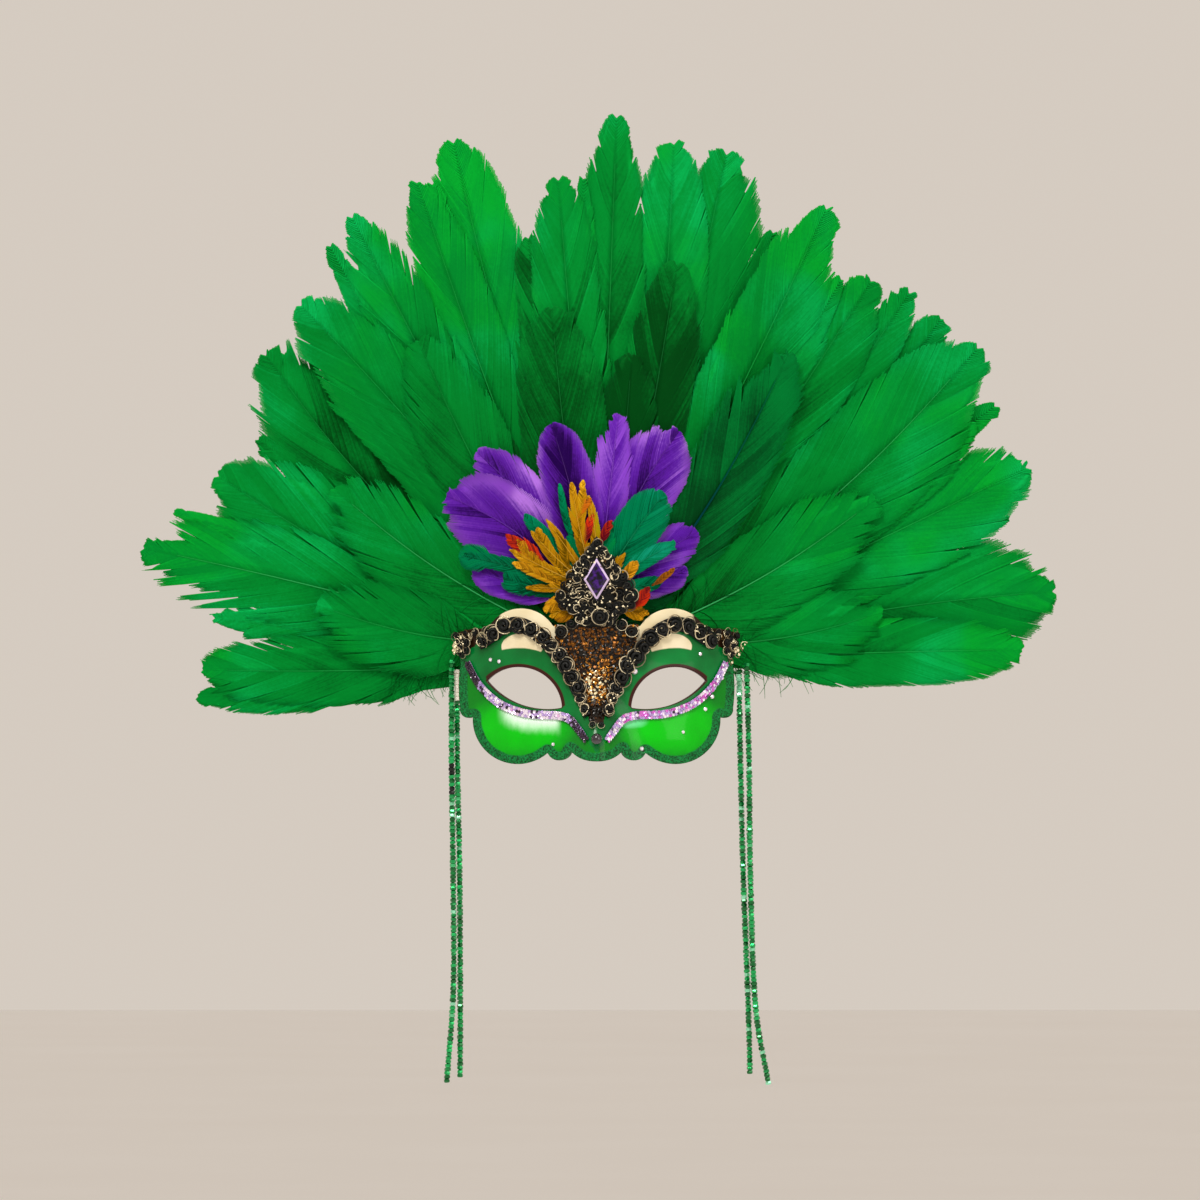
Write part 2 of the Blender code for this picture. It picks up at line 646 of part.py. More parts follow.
def main():
    clear_scene()
    finish = {name: material(name) for name in MATERIALS}
    mask_shell(finish["green_lacquer"])
    for side, turn in (("left", np.asarray), ("right", mirrored)):
        skin(f"brow_braid_{side}", turn(braid_rings()), finish["black_braid"])
        skin(f"temple_rosette_{side}", turn(rosette_rings()), finish["black_braid"])
        skin(f"sequin_trim_{side}", turn(trim_rings()), finish["lilac_sequin"])
    skin("nose_bead", nose_bead_rings(), finish["black_bead"])
    skin("glitter_lozenge", lozenge_rings(), finish["gold_glitter"])
    skin("crest_plate", plate_rings(), finish["black_braid"])
    skin("crest_gem", gem_rings(), finish["purple_stone"])
    skin("crest_knot", knot_rings(), finish["black_braid"])

    fan_roots = (ROOT_CENTRE_Z, ROOT_HALF_WIDTH, ROOT_HEIGHT)
    tuft_roots = (TUFT_CENTRE_Z, TUFT_HALF_WIDTH, TUFT_HEIGHT)
    outer_front = FAN_FRONT + FAN_PITCH * INNER_LAYERS
    green, purple = finish["green_feather"], finish["purple_feather"]
    add_feathers(OUTER_FEATHERS, fan_roots, outer_front, FAN_PITCH, OUTER_LAYERS, GREEN_THICKNESS, green)
    add_feathers(INNER_FEATHERS, fan_roots, FAN_FRONT, FAN_PITCH, INNER_LAYERS, GREEN_THICKNESS, green)
    add_feathers(
        PURPLE_FEATHERS, tuft_roots, PURPLE_FRONT, PURPLE_PITCH, PURPLE_LAYERS, PURPLE_THICKNESS, purple
    )
    add_tuft("teal_tuft", TEAL_TIPS, TEAL_LAYER, TEAL_LEAN, finish["teal_feather"])
    add_tuft("gold_tuft", GOLD_TIPS, GOLD_LAYER, GOLD_LEAN, finish["gold_feather"])

    for name, depth, route in STRANDS:
        add_strand(name, depth, route, finish["green_bead"])


main()
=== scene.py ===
# %% [markdown]
# # A feathered eye mask, dressed
# The object is a moulded half mask in pearl and green, edged with braid and sequins. A crest with a stone
# stands on its brow, small dyed feathers stand behind the crest, and a wide fan of green ones behind those.
# The solids already say where each piece is and how large. This lesson makes each piece again as a finer
# surface, from the same named sizes, and gives it a finish made of shader nodes.
# Lengths are in millimetres. X runs to the viewer's right, the front faces -Y, and Z is up.

# %% Load the frame
import math

import bpy
import numpy as np
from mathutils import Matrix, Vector


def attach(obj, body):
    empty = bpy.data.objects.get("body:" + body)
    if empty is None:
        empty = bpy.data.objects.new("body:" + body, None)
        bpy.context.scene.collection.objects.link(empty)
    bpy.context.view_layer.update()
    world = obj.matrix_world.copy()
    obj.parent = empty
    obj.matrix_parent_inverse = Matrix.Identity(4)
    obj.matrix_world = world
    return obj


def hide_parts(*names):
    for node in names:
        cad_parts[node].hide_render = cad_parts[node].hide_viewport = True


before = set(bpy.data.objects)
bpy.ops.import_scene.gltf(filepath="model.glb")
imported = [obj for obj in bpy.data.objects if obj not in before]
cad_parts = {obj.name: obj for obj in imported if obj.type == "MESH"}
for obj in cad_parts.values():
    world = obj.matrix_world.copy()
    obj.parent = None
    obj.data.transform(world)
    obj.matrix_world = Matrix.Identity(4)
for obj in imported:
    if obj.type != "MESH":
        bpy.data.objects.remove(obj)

MM = 0.001
TURN = 2 * math.pi
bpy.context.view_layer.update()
random = np.random.default_rng(7)

# %% [markdown]
# ## The two surfaces that carry everything
# A face mask wraps round a head, so its wall is part of a wide cylinder with a nose, cheeks and brows raised
# on it. The fan lies on a second surface, a shallow bowl that sweeps back at the sides. Both could be
# modelled by hand. They are written as functions y(x, z) instead, because every trim and every feather
# then finds its own place on them.

# %% Sizes of the mask's wall and of the fan's bowl
WALL = 2.0
FACE_RADIUS = 110.0
NOSE_RISE, NOSE_TOP, NOSE_TIP = 17.0, 4.0, -40.0
NOSE_HALF, NOSE_FLARE = 9.0, 5.0
SWELL_RISE = 3.5
CHEEK, BROW = (47.0, -30.0, 17.0, 13.0), (46.0, 30.0, 20.0, 12.0)  # x, z, and the reach across and up
WRAP_END = 90.0  # the wall wraps no further beyond this x
BOWL_DEPTH, BOWL_REACH, BOWL_POWER = 62.0, 88.0, 2.4
FAN_TOP_DEPTH, FAN_LEAN_START, FAN_LEAN_END = 36.0, 80.0, 340.0


def smoothstep(low, high, value):
    """Rises from 0 at low to 1 at high as 3s^2 - 2s^3."""
    share = np.clip((np.asarray(value, float) - low) / (high - low), 0.0, 1.0)
    return share * share * (3.0 - 2.0 * share)


def swelling(x, z, centre_x, centre_z, reach_x, reach_z):
    """A bell on each side of the face: exp of minus the squared distances from its centre, in reaches."""
    return SWELL_RISE * np.exp(-(((np.abs(x) - centre_x) / reach_x) ** 2) - ((z - centre_z) / reach_z) ** 2)


def face_depth(x, z):
    """Y of the mask's inner face: a cylinder, less bell-shaped swellings for the nose, cheeks and brows."""
    wrap = FACE_RADIUS - np.sqrt(FACE_RADIUS**2 - np.minimum(np.abs(x), WRAP_END) ** 2)
    down = smoothstep(NOSE_TOP, NOSE_TIP, z)
    nose = NOSE_RISE * down * np.exp(-((x / (NOSE_HALF + NOSE_FLARE * down)) ** 2))
    cheek, brow = swelling(x, z, *CHEEK), swelling(x, z, *BROW)
    return wrap - nose - cheek - brow + NOSE_RISE * smoothstep(NOSE_TOP, NOSE_TIP, 0.0)


def unit_length(vectors):
    """Each vector divided by its length, or by a millionth where it has next to none."""
    return vectors / np.maximum(np.linalg.norm(vectors, axis=-1, keepdims=True), 1e-6)


def on_face(x, z, lift):
    """Points of the inner face moved out along its normal, and that normal, from differences a half mm aside."""
    x, z, lift = (np.asarray(v, float) for v in np.broadcast_arrays(x, z, lift))
    slope_x = face_depth(x + 0.5, z) - face_depth(x - 0.5, z)
    slope_z = face_depth(x, z + 0.5) - face_depth(x, z - 0.5)
    normal = unit_length(np.stack([slope_x, -np.ones_like(slope_x), slope_z], axis=-1))
    return np.stack([x, face_depth(x, z), z], axis=-1) + normal * lift[..., None], normal


def fan_depth(x, z):
    """Y of the fan's sheet: a bowl that levels off to the sides, blended into an even lean at the top."""
    bowl = BOWL_DEPTH * (1.0 - np.exp(-((np.abs(x) / BOWL_REACH) ** BOWL_POWER)))
    lean = smoothstep(FAN_LEAN_START, FAN_LEAN_END, z)
    return bowl * (1.0 - lean) + FAN_TOP_DEPTH * lean


print("the nose stands", round(float(face_depth(60, -40) - face_depth(0, -40)), 1), "mm before the cheeks")

# %% [markdown]
# ## Outlines and routes
# The mask's edge is a row of arcs, as a paper pattern would give it. The braid and the sequins follow a
# smooth route through a few points. A Bezier curve would do both, but arrays can be measured and used in
# the next sum.

# %% Arcs and smooth routes
def bowed(corners, step):
    """A closed outline of arcs. Each row is x, z and how far its arc bows to the right of its travel."""
    points = []
    for (x, z, bow), end in zip(corners, [*corners[1:], corners[0]]):
        start = np.array([x, z])
        along = np.array(end[:2]) - start
        half = np.linalg.norm(along) / 2
        share = np.linspace(0.0, 1.0, max(2, math.ceil(2 * half / step)), endpoint=False)[:, None]
        rise = 0.0
        if bow:
            radius = (half * half + bow * bow) / (2 * abs(bow))
            arch = np.sqrt(radius**2 - (half * (2 * share - 1)) ** 2) - radius + abs(bow)
            rise = math.copysign(1.0, bow) * arch
        points.append(start + along * share + np.array([along[1], -along[0]]) / (2 * half) * rise)
    return np.vstack(points)


def smooth_route(points, count):
    """A Catmull-Rom curve through the points, in twelve spans to each, read at even steps of its length."""
    knots = np.array(points, float)
    padded = np.vstack([2 * knots[0] - knots[1], knots, 2 * knots[-1] - knots[-2]])
    share = np.linspace(0.0, 1.0, 12, endpoint=False)[:, None]
    a, b, c, d = (padded[k:len(padded) - 3 + k, None] for k in range(4))
    bend = (2 * a - 5 * b + 4 * c - d) * share**2 + (3 * b - a - 3 * c + d) * share**3
    fine = np.vstack([((2 * b + (c - a) * share + bend) / 2).reshape(-1, 2), knots[-1:]])
    travelled = np.concatenate([[0.0], np.cumsum(np.linalg.norm(np.diff(fine, axis=0), axis=1))])
    even = np.linspace(0.0, travelled[-1], count)
    return np.stack([np.interp(even, travelled, column) for column in fine.T], axis=1)


def between_rows(values, at):
    """The rows of an array read at row numbers that needn't be whole, straight between one row and the next."""
    rows = np.arange(len(values))
    columns = [np.interp(at, rows, column) for column in values.reshape(len(values), -1).T]
    return np.stack(columns, axis=1).reshape(len(at), *values.shape[1:])


def lozenge(half_width, half_height, points):
    """A lozenge about the origin, anticlockwise, with this many points on each of its four sides."""
    corners = np.array([(1.0, 0.0), (0.0, 1.0), (-1.0, 0.0), (0.0, -1.0)])
    share = np.linspace(0.0, 1.0, points, endpoint=False)[:, None]
    sides = [start + (end - start) * share for start, end in zip(corners, np.roll(corners, -1, axis=0))]
    return np.vstack(sides) * (half_width, half_height)


def distance_to(x, z, line):
    """Distance from each point to a line of short spans, and the side it is on: positive to the line's left."""
    point = np.stack([x, z], axis=-1).reshape(-1, 1, 2)
    start, along = line[:-1], np.diff(line, axis=0)
    share = np.clip(((point - start) * along).sum(-1) / (along**2).sum(-1), 0.0, 1.0)
    away = point - start - along * share[..., None]
    length = np.linalg.norm(away, axis=-1)
    nearest = length.argmin(axis=1)
    pick = np.arange(len(point))
    side = np.sign(along[nearest, 0] * away[pick, nearest, 1] - along[nearest, 1] * away[pick, nearest, 0])
    return length[pick, nearest].reshape(np.shape(x)), side.reshape(np.shape(x))


# %% [markdown]
# ## From arrays to an object
# A piece is gathered from patches. Each patch is an array of points, the faces between them, and numbers
# that ride on the points, such as how far along a feather a point is. The finishes read those numbers.
# Blender's own operators could build the same meshes one step at a time, but whole arrays are quicker.

# %% Faces between points, and the class that gathers a piece
def tube_faces(shape):
    """Quads of one or many tubes and a face over each end. Rings run anticlockwise about their travel."""
    number = np.arange(math.prod(shape)).reshape(-1, *shape[-2:])
    here, above = number[:, :-1], number[:, 1:]
    sides = np.stack([here, np.roll(here, -1, 2), np.roll(above, -1, 2), above], axis=-1).reshape(-1, 4)
    return [sides, number[:, 0, ::-1], number[:, -1]]


def blade_faces(shape):
    """As tube_faces, for rings that run along a front and back along a back. Quads between them close the ends."""
    number = np.arange(math.prod(shape)).reshape(-1, *shape[-2:])
    half = shape[-1] // 2
    ends = []
    for ring, turn in ((number[:, 0], -1), (number[:, -1], 1)):
        back = ring[:, ::-1]
        quads = np.stack([ring[:, : half - 1], ring[:, 1:half], back[:, 1:half], back[:, : half - 1]], axis=-1)
        ends.append(quads.reshape(-1, 4)[:, ::turn])
    return tube_faces(shape)[:1] + ends


class Piece:
    """One object in the making."""

    def __init__(self):
        self.points, self.faces, self.values, self.size = [], [], [], 0

    def patch(self, points, faces, **values):
        """Adds points, faces as arrays of their numbers, and values that spread over the points."""
        held = {name: np.broadcast_to(value, points.shape[:-1]).ravel() for name, value in values.items()}
        self.values.append(held)
        self.points.append(points.reshape(-1, 3))
        self.faces += [rows + self.size for rows in faces]
        self.size += len(self.points[-1])

    def tubes(self, rings, **values):
        """Adds one or many closed tubes, given as rings of points."""
        self.patch(rings, tube_faces(rings.shape[:-1]), **values)

    def make(self, name, nodes, finish, smooth=True):
        """Puts the arrays into a mesh with its finish, and hides the solids that it stands for."""
        mesh = bpy.data.meshes.new(name)
        mesh.vertices.add(self.size)
        points = np.concatenate(self.points) * MM
        mesh.vertices.foreach_set("co", points.astype(np.float32).ravel())
        corners = np.concatenate([rows.ravel() for rows in self.faces])
        sizes = np.concatenate([np.full(len(rows), rows.shape[1]) for rows in self.faces])
        mesh.loops.add(len(corners))
        mesh.loops.foreach_set("vertex_index", corners.astype(np.int32))
        mesh.polygons.add(len(sizes))
        mesh.polygons.foreach_set("loop_start", (np.cumsum(sizes) - sizes).astype(np.int32))
        mesh.polygons.foreach_set("use_smooth", np.full(len(sizes), smooth))
        mesh.update(calc_edges=True)
        for value in sorted(set().union(*self.values)):
            held = [part.get(value, np.zeros(len(rows))) for part, rows in zip(self.values, self.points)]
            column = np.concatenate(held).astype(np.float32)
            mesh.attributes.new(value, "FLOAT", "POINT").data.foreach_set("value", column)
        mesh.materials.append(finish)
        piece = bpy.data.objects.new(name, mesh)
        bpy.context.collection.objects.link(piece)
        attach(piece, "root")
        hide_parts(*nodes)
        made[name] = int((sizes - 2).sum())
        return piece


made = {}

# %% [markdown]
# ## Small shapes, many times
# Sequins, beads and knots are one small shape each, set down again and again. Instances would be lighter,
# but joined copies are one plain mesh that any program reads. A shape is turned from a profile about its
# own axis, and then each copy gets its own axes and place.

# %% Turned shapes and their places
def turned(profile, sides):
    """Rings about the third axis: each profile row is a radius and a height."""
    turn = np.linspace(0.0, TURN, sides, endpoint=False)
    radius, height = (np.array(column, float)[:, None] for column in zip(*profile))
    return np.stack([radius * np.cos(turn), radius * np.sin(turn), height + 0 * turn], axis=-1)


def axes_of(normal, along):
    """Axes of each copy: the third is the normal, and the first is the part of along that is square to it."""
    normal, along = np.broadcast_arrays(normal, along)
    first = unit_length(along - normal * (along * normal).sum(-1, keepdims=True))
    return np.stack([first, np.cross(normal, first), normal], axis=-1)


def placed(shape, places, axes, size=1.0):
    """Copies of a shape: its points times a size, turned to each copy's axes and moved to its place."""
    size = np.broadcast_to(size, len(places)).reshape(-1, *[1] * shape.ndim)
    flat = np.einsum("nij,...j->n...i", axes, shape) * size
    return flat + places.reshape(-1, *[1] * (shape.ndim - 1), 3)


def spread(count, low=0.0, high=1.0):
    """Seeded numbers between low and high."""
    return random.uniform(low, high, count)


def any_way(places):
    """A seeded direction for each place."""
    return random.normal(0, 1, places.shape)


def tilted(normal, places, amount):
    """A normal for each place, tipped at random by about amount of a radian."""
    return unit_length(normal + random.normal(0, amount, places.shape))


# %% [markdown]
# ## Writing finishes as expressions
# A finish is a net of shader nodes. Built by hand it is easy to see and slow to change. Here a number that
# varies over a surface is a Field, and plain arithmetic on Fields adds the Math nodes. Colours don't go
# through Math nodes, which would turn them grey, but through Mix nodes.

# %% A number over a surface, and a finish in the making
class Field:
    """One output of a node. Arithmetic with numbers or other Fields adds Math nodes."""

    def __init__(self, finish, socket):
        self.finish, self.socket = finish, socket

    def math(self, operation, *values, clamp=False):
        """One Math node on some values, of which this Field need not be one."""
        return self.finish.add("Math", {"operation": operation, "use_clamp": clamp}, dict(enumerate(values)))

    def __add__(self, other):
        return self.math("ADD", self, other)

    def __sub__(self, other):
        return self.math("SUBTRACT", self, other)

    def __rsub__(self, other):
        return self.math("SUBTRACT", other, self)

    def __mul__(self, other):
        return self.math("MULTIPLY", self, other)

    __radd__, __rmul__ = __add__, __mul__

    def step(self, low, high):
        """0 below low, 1 above high, and a smooth rise between."""
        settings = {"interpolation_type": "SMOOTHSTEP"}
        return self.finish.add("MapRange", settings, {"Value": self, "From Min": low, "From Max": high})

    def unit(self):
        """Kept between 0 and 1."""
        return self.math("ADD", self, 0.0, clamp=True)


class Finish:
    """A material: any node comes from add, and the rest are short names for the nodes used most."""

    def __init__(self, name, roughness, **constants):
        self.material = bpy.data.materials.new(name)
        self.material.use_nodes = True
        self.nodes = self.material.node_tree.nodes
        self.shader = self.nodes["Principled BSDF"]
        self.shader.inputs["Roughness"].default_value = roughness
        for socket, value in constants.items():
            self.shader.inputs[socket.replace("_", " ")].default_value = value

    def feed(self, socket, value):
        """Links a Field to a socket, or sets the socket to a constant."""
        if isinstance(value, Field):
            self.material.node_tree.links.new(value.socket, socket)
        else:
            socket.default_value = value

    def add(self, kind, settings, values, output=0):
        """A node of any type: its settings first, then a value or a link for each of its sockets."""
        node = self.nodes.new("ShaderNode" + kind)
        for name, value in settings.items():
            setattr(node, name, value)
        for name, value in values.items():
            self.feed(node.inputs[name], value)
        return Field(self, node.outputs[output])

    def value(self, name):
        """A number that rides on the piece's points."""
        return self.add("Attribute", {"attribute_name": name}, {}, "Fac")

    def place(self, scale=(1.0, 1.0, 1.0)):
        """The object's own coordinates in millimetres, stretched along each axis."""
        coordinates = self.add("TexCoord", {}, {}, "Object")
        return self.add("Mapping", {}, {"Vector": coordinates, "Scale": [1000.0 * s for s in scale]})

    def noise(self, place, size, detail=2.0):
        """Soft clouds about size mm across, from 0 to 1."""
        return self.add("TexNoise", {}, {"Vector": place, "Scale": 1.0 / size, "Detail": detail})

    def cells(self, place, size):
        """Random numbers, one to each cell about size mm across."""
        return self.add("TexVoronoi", {}, {"Vector": place, "Scale": 1.0 / size}, "Color")

    def mix(self, share, low, high):
        """A colour between two, by a share."""
        return self.add("Mix", {"data_type": "RGBA"}, {0: share, 6: low, 7: high}, 2)

    def relief(self, height, depth, strength=1.0):
        """A Bump node: height from 0 to 1 stands for depth mm."""
        bump = self.add("Bump", {}, {"Height": height, "Distance": depth * MM, "Strength": strength})
        self.feed(self.shader.inputs["Normal"], bump)

    def done(self, colour, roughness=None, metallic=None):
        """Feeds what varies to the shader, and gives the material back."""
        for name, value in (("Base Color", colour), ("Roughness", roughness), ("Metallic", metallic)):
            if value is not None:
                self.feed(self.shader.inputs[name], value)
        return self.material


def paint(red, green, blue):
    """A colour named by its 0 to 255 screen values, as the linear numbers that a shader wants."""
    share = np.array([red, green, blue]) / 255
    linear = np.where(share <= 0.04045, share / 12.92, ((share + 0.055) / 1.055) ** 2.4)
    return (*linear.tolist(), 1.0)


print("sea green in linear numbers:", np.round(paint(46, 139, 87), 3))

# %% [markdown]
# ## The dye and painted shade on the green feathers
# Dyed goose feathers take the colour unevenly: deeper near the quill and the root, where the vane is thick,
# and bluer at the thin tips. Shade is painted in as well: darker near each root and toward the fan's middle,
# where the feathers overlap, and lighter at the thin tips, as if lit through. The quill itself stays pale. One
# flat green would look like felt. The numbers used here are share, from root to tip, across, from the quill to
# the vane's edge, shaft, which is 1 on the quill, tint, which is random for each feather with painted shade
# added to those in the middle, and lock, random for each lock of barbs. One more, red, turns a few loose bits
# from gold to orange and red.

# %% Feather finishes
CLOUD_SIZE, HUE_SIZE, GRAIN_SIZE = 34.0, 60.0, 1.6


def feather_finish(name, deep_and_shaded, body, bright, warm, quill, reach, edge=0.12, streak=0.26):
    """Three strengths of one dye, mixed by distance out as painted shade and light, soft clouds and barb streaks."""
    finish = Finish(name, 0.6, Sheen_Weight=0.06, Sheen_Roughness=0.4, Sheen_Tint=bright)
    finish.shader.inputs["Specular IOR Level"].default_value = 0.12
    finish.shader.inputs["Specular Tint"].default_value = bright
    share, across, shaft = (finish.value(key) for key in ("share", "across", "shaft"))
    tint, lock = finish.value("tint"), finish.value("lock")
    cloud, hue = finish.noise(finish.place(), CLOUD_SIZE), finish.noise(finish.place(), HUE_SIZE)
    grain = finish.noise(finish.place(), GRAIN_SIZE, 3.0)
    radius = finish.add("VectorMath", {"operation": "LENGTH"}, {0: finish.place()}, "Value")
    # Painted shade and light: darker toward the fan's middle and near each root, where feathers overlap and shade
    # each other, and lighter out at the thin tips, as if lit through.
    outward = (radius * reach) * 0.5 + share * 0.2
    # across * across * edge lightens the vane's edge; on the violet feathers the dark middle it leaves is painted
    # shade where the vane folds.
    light = outward + across * across * edge + tint * 0.34 + lock * streak
    light = light + (cloud - 0.5) * 0.5 + (grain - 0.5) * 0.3
    colour = finish.mix(light.step(-0.02, 0.5), deep_and_shaded, body)
    colour = finish.mix(light.step(0.42, 1.0) * hue.step(0.38, 0.6), colour, bright)
    colour = finish.mix(light.step(0.5, 1.0) * hue.step(0.6, 0.42) * 0.8, colour, warm)
    reds = finish.mix(light.step(0.1, 0.9), paint(96, 2, 28), paint(212, 50, 16))
    colour = finish.mix(finish.value("red"), colour, reds)
    colour = finish.mix(shaft * (0.9 - share * 0.7), colour, quill)
    finish.relief(grain, 0.2, 0.4)
    return finish.done(colour)


# The deep colours also serve as painted shade and the bright ones as painted light at the tips; the reach is how far
# from the fan's middle the painted shade fades.
FAN_DYES = {  # deep, body, bright, warm and quill, 1 over the reach in mm, then how strong edge and streaks are
    "green_dye": [(4, 66, 18), (4, 131, 45), (10, 172, 84), (8, 166, 46), (70, 186, 114), 1 / 290],
    "dark_green_dye": [(4, 66, 26), (4, 122, 50), (6, 146, 84), (6, 140, 58), (0, 52, 56), 1 / 290],
    "violet_dye": [(30, 0, 72), (92, 30, 166), (186, 124, 236), (138, 66, 206), (150, 96, 210), 1 / 210, 0.85, 0.3],
    "teal_dye": [(0, 64, 36), (0, 120, 76), (20, 156, 126), (0, 146, 56), (40, 140, 100), 1 / 160, 0.1, 0.35],
    "gold_dye": [(96, 70, 2), (178, 126, 12), (250, 190, 44), (150, 142, 12), (240, 200, 90), 1 / 170, 0.2, 0.4],
}
green_dye, dark_green_dye, violet_dye, teal_dye, gold_dye = (
    feather_finish(name, *(paint(*colour) for colour in row[:5]), *row[5:]) for name, row in FAN_DYES.items()
)
print("feather finishes:", len(green_dye.node_tree.nodes), "nodes in each")

# %% [markdown]
# ## One feather
# A real feather is a tapered quill with a vane on each side, and each vane is a row of barbs that hook
# together. Where they let go, the edge splits into locks. A flat card with barbs printed on it would give
# the outline only. Here each barb is modelled as a thin three-sided ribbon, so that locks, splits and
# frayed ends are real edges that catch light. It runs straight out and up, and stops where it meets the
# outline. A thin web behind the barbs closes the gaps between them. Each vane is worked out as one array.

# %% Sizes and tables of the fan
FAN_PITCH, FAN_FRONT, INNER_LAYERS, OUTER_LAYERS = 2.0, 3.9, 3, 4
PURPLE_PITCH, PURPLE_FRONT, PURPLE_LAYERS = 1.1, 0.5, 3
FAN_ROOTS = (13.0, 72.0, 18.0)  # centre height, half width and height of the ellipse on which quills end
TUFT_ROOTS = (46.0, 20.0, 12.0)
OUTER_FEATHERS = (  # name, tip x, tip z, width, bow
    ("plume_left_1", -237.0, 9.0, 41.0, -2.0),
    ("plume_left_2", -273.0, 82.0, 58.0, 3.0),
    ("plume_left_3", -228.0, 126.0, 67.0, -9.0),
    ("plume_left_4", -199.0, 199.0, 67.0, -16.0),
    ("plume_left_5", -178.0, 228.0, 54.0, 6.0),
    ("plume_left_6", -147.0, 281.0, 42.0, -3.0),
    ("plume_left_7", -108.0, 302.0, 38.0, -3.0),
    ("plume_left_8", -86.0, 326.0, 52.0, -4.0),
    ("plume_centre_1", -23.0, 303.0, 42.0, 0.0),
    ("plume_centre_2", 12.0, 341.0, 38.0, 0.0),
    ("plume_centre_3", 46.0, 325.0, 46.0, 10.0),
    ("plume_centre_4", 78.0, 319.0, 68.0, 4.0),
    ("plume_right_1", 138.0, 286.0, 49.0, 3.0),
    ("plume_right_2", 165.0, 243.0, 48.0, 5.0),
    ("plume_right_3", 188.0, 236.0, 37.0, 10.0),
    ("plume_right_4", 207.0, 221.0, 42.0, 16.0),
    ("plume_right_5", 229.0, 203.0, 66.0, 14.0),
    ("plume_right_6", 225.0, 159.0, 44.0, 5.0),
    ("plume_right_7", 259.0, 131.0, 58.0, 3.0),
    ("plume_right_8", 275.0, 56.0, 70.0, -5.0),
    ("plume_right_9", 256.0, 21.0, 38.0, -1.0),
)
INNER_FEATHERS = (
    ("inner_left_1", -168.0, 48.0, 48.0, -5.0),
    ("inner_left_2", -158.0, 118.0, 52.0, -6.0),
    ("inner_left_3", -107.0, 207.0, 50.0, -6.0),
    ("inner_left_4", -27.0, 225.0, 48.0, -2.0),
    ("inner_right_1", 21.0, 197.0, 36.0, 2.0),
    ("inner_right_2", 48.0, 252.0, 40.0, 3.0),
    ("inner_right_3", 115.0, 199.0, 46.0, 7.0),
    ("inner_right_4", 168.0, 112.0, 52.0, 6.0),
    ("inner_right_5", 172.0, 44.0, 46.0, 5.0),
)
PURPLE_FEATHERS = (
    ("purple_feather_1", -74.0, 68.0, 21.0, 0.0),
    ("purple_feather_2", -90.0, 113.0, 43.0, 7.0),
    ("purple_feather_3", -71.5, 139.0, 28.0, 5.0),
    ("purple_feather_4", -27.0, 155.0, 29.0, 2.0),
    ("purple_feather_5", 13.0, 161.0, 22.0, 0.0),
    ("purple_feather_6", 49.0, 151.0, 40.0, -6.0),
    ("purple_feather_7", 60.0, 91.0, 23.0, -2.0),
    ("purple_feather_8", 54.0, 68.0, 18.0, -1.0),
)
print(len(OUTER_FEATHERS + INNER_FEATHERS), "green feathers and", len(PURPLE_FEATHERS), "purple ones")


# %% The vane's outline and the quill's line
FLARE_START, FLARE_END = -0.02, 0.42  # shares of the length over which the vane widens
ROUND_START, ROUND_POWER = 0.70, 2.2  # where the tip begins to round off
WIDTH_SHARE = 0.55  # half the width in the table, and a tenth more for the frayed edge
FOLD_HALF = 25.0  # the half width at which the edge folds back by fold mm


def length_of(row, root):
    """From a feather's root straight to its tip, in mm."""
    return np.linalg.norm(np.array(row[1:3]) - root)


def right_of(way):
    """Flat directions turned a quarter turn to the right."""
    return np.stack([way[..., 1], -way[..., 0]], axis=-1)


def feather_width(share):
    """Half width as a share of the greatest: a smooth flare from the quill, then a rounded tip."""
    past = np.clip(share - ROUND_START, 0.0, 1.0) / (1.0 - ROUND_START)
    round_off = np.sqrt(np.clip(1.0 - past**ROUND_POWER, 0.0, 1.0))
    return smoothstep(FLARE_START, FLARE_END, share) * round_off


def root_of(tip, centre_z, half_width, height):
    """Where a quill ends: on an ellipse, in the direction of its tip."""
    angle = math.atan2((tip[1] - centre_z) / height, tip[0] / half_width)
    return np.array([half_width * math.cos(angle), centre_z + height * math.sin(angle)])


def quill_line(row, root, share):
    """Middle of the feather at each share, a straight line plus bow * sin(pi * share) aside, and its directions."""
    along = np.array(row[1:3]) - root
    right = right_of(along) / np.linalg.norm(along)
    share = np.asarray(share, float)[..., None]
    middle = root + along * share + right * row[4] * np.sin(math.pi * share)
    heading = unit_length(along + right * row[4] * math.pi * np.cos(math.pi * share))
    return middle, heading, right_of(heading)


def vane_half(row, share, base):
    """Half width of the vane in mm: the outline's share of the width, but never under its downy base's."""
    downy = base * smoothstep(-0.08, 0.1, share) * (share < 0.5)
    return np.maximum(np.maximum(feather_width(share) * row[3] * WIDTH_SHARE, downy), 0.6)


def vane_points(row, root, share, aside, side, base, layer, lean, fold, billow=0.0):
    """Flat places, depths, and shares of the half width, at distances from the quill in mm.

    The vane folds back by fold * v^2 for each 25 mm of half width, where v is the share. It leans forward evenly
    with its length, and billow moves single locks off the sheet.
    """
    middle, _, across = quill_line(row, root, share)
    flat = middle + across * (side * aside)[..., None]
    half = vane_half(row, share, base)
    v = np.clip(aside / half, 0.0, 1.0)
    bend = fold * v**2 * half / FOLD_HALF + billow
    return flat, fan_depth(flat[..., 0], flat[..., 1]) + layer - lean * length_of(row, root) * share + bend, v


# %% Barbs, quill and down
BARB_CURVE = 1.2  # over 1, a barb leaves the quill more squarely than it ends
BARB_THICK, BARB_LEAST = 0.08, 0.08
WEB_PITCH, WEB_COLUMNS = 4.5, 11
QUILL_END, QUILL_RINGS = 0.9, 22
DOWN_FROM, DOWN_TO = 0.02, 0.3  # the stretch of the quill that carries loose wisps
EYES_HALF, EYES_TOP = 72.0, 12.0  # no wisp may cross this part, where the eye holes are


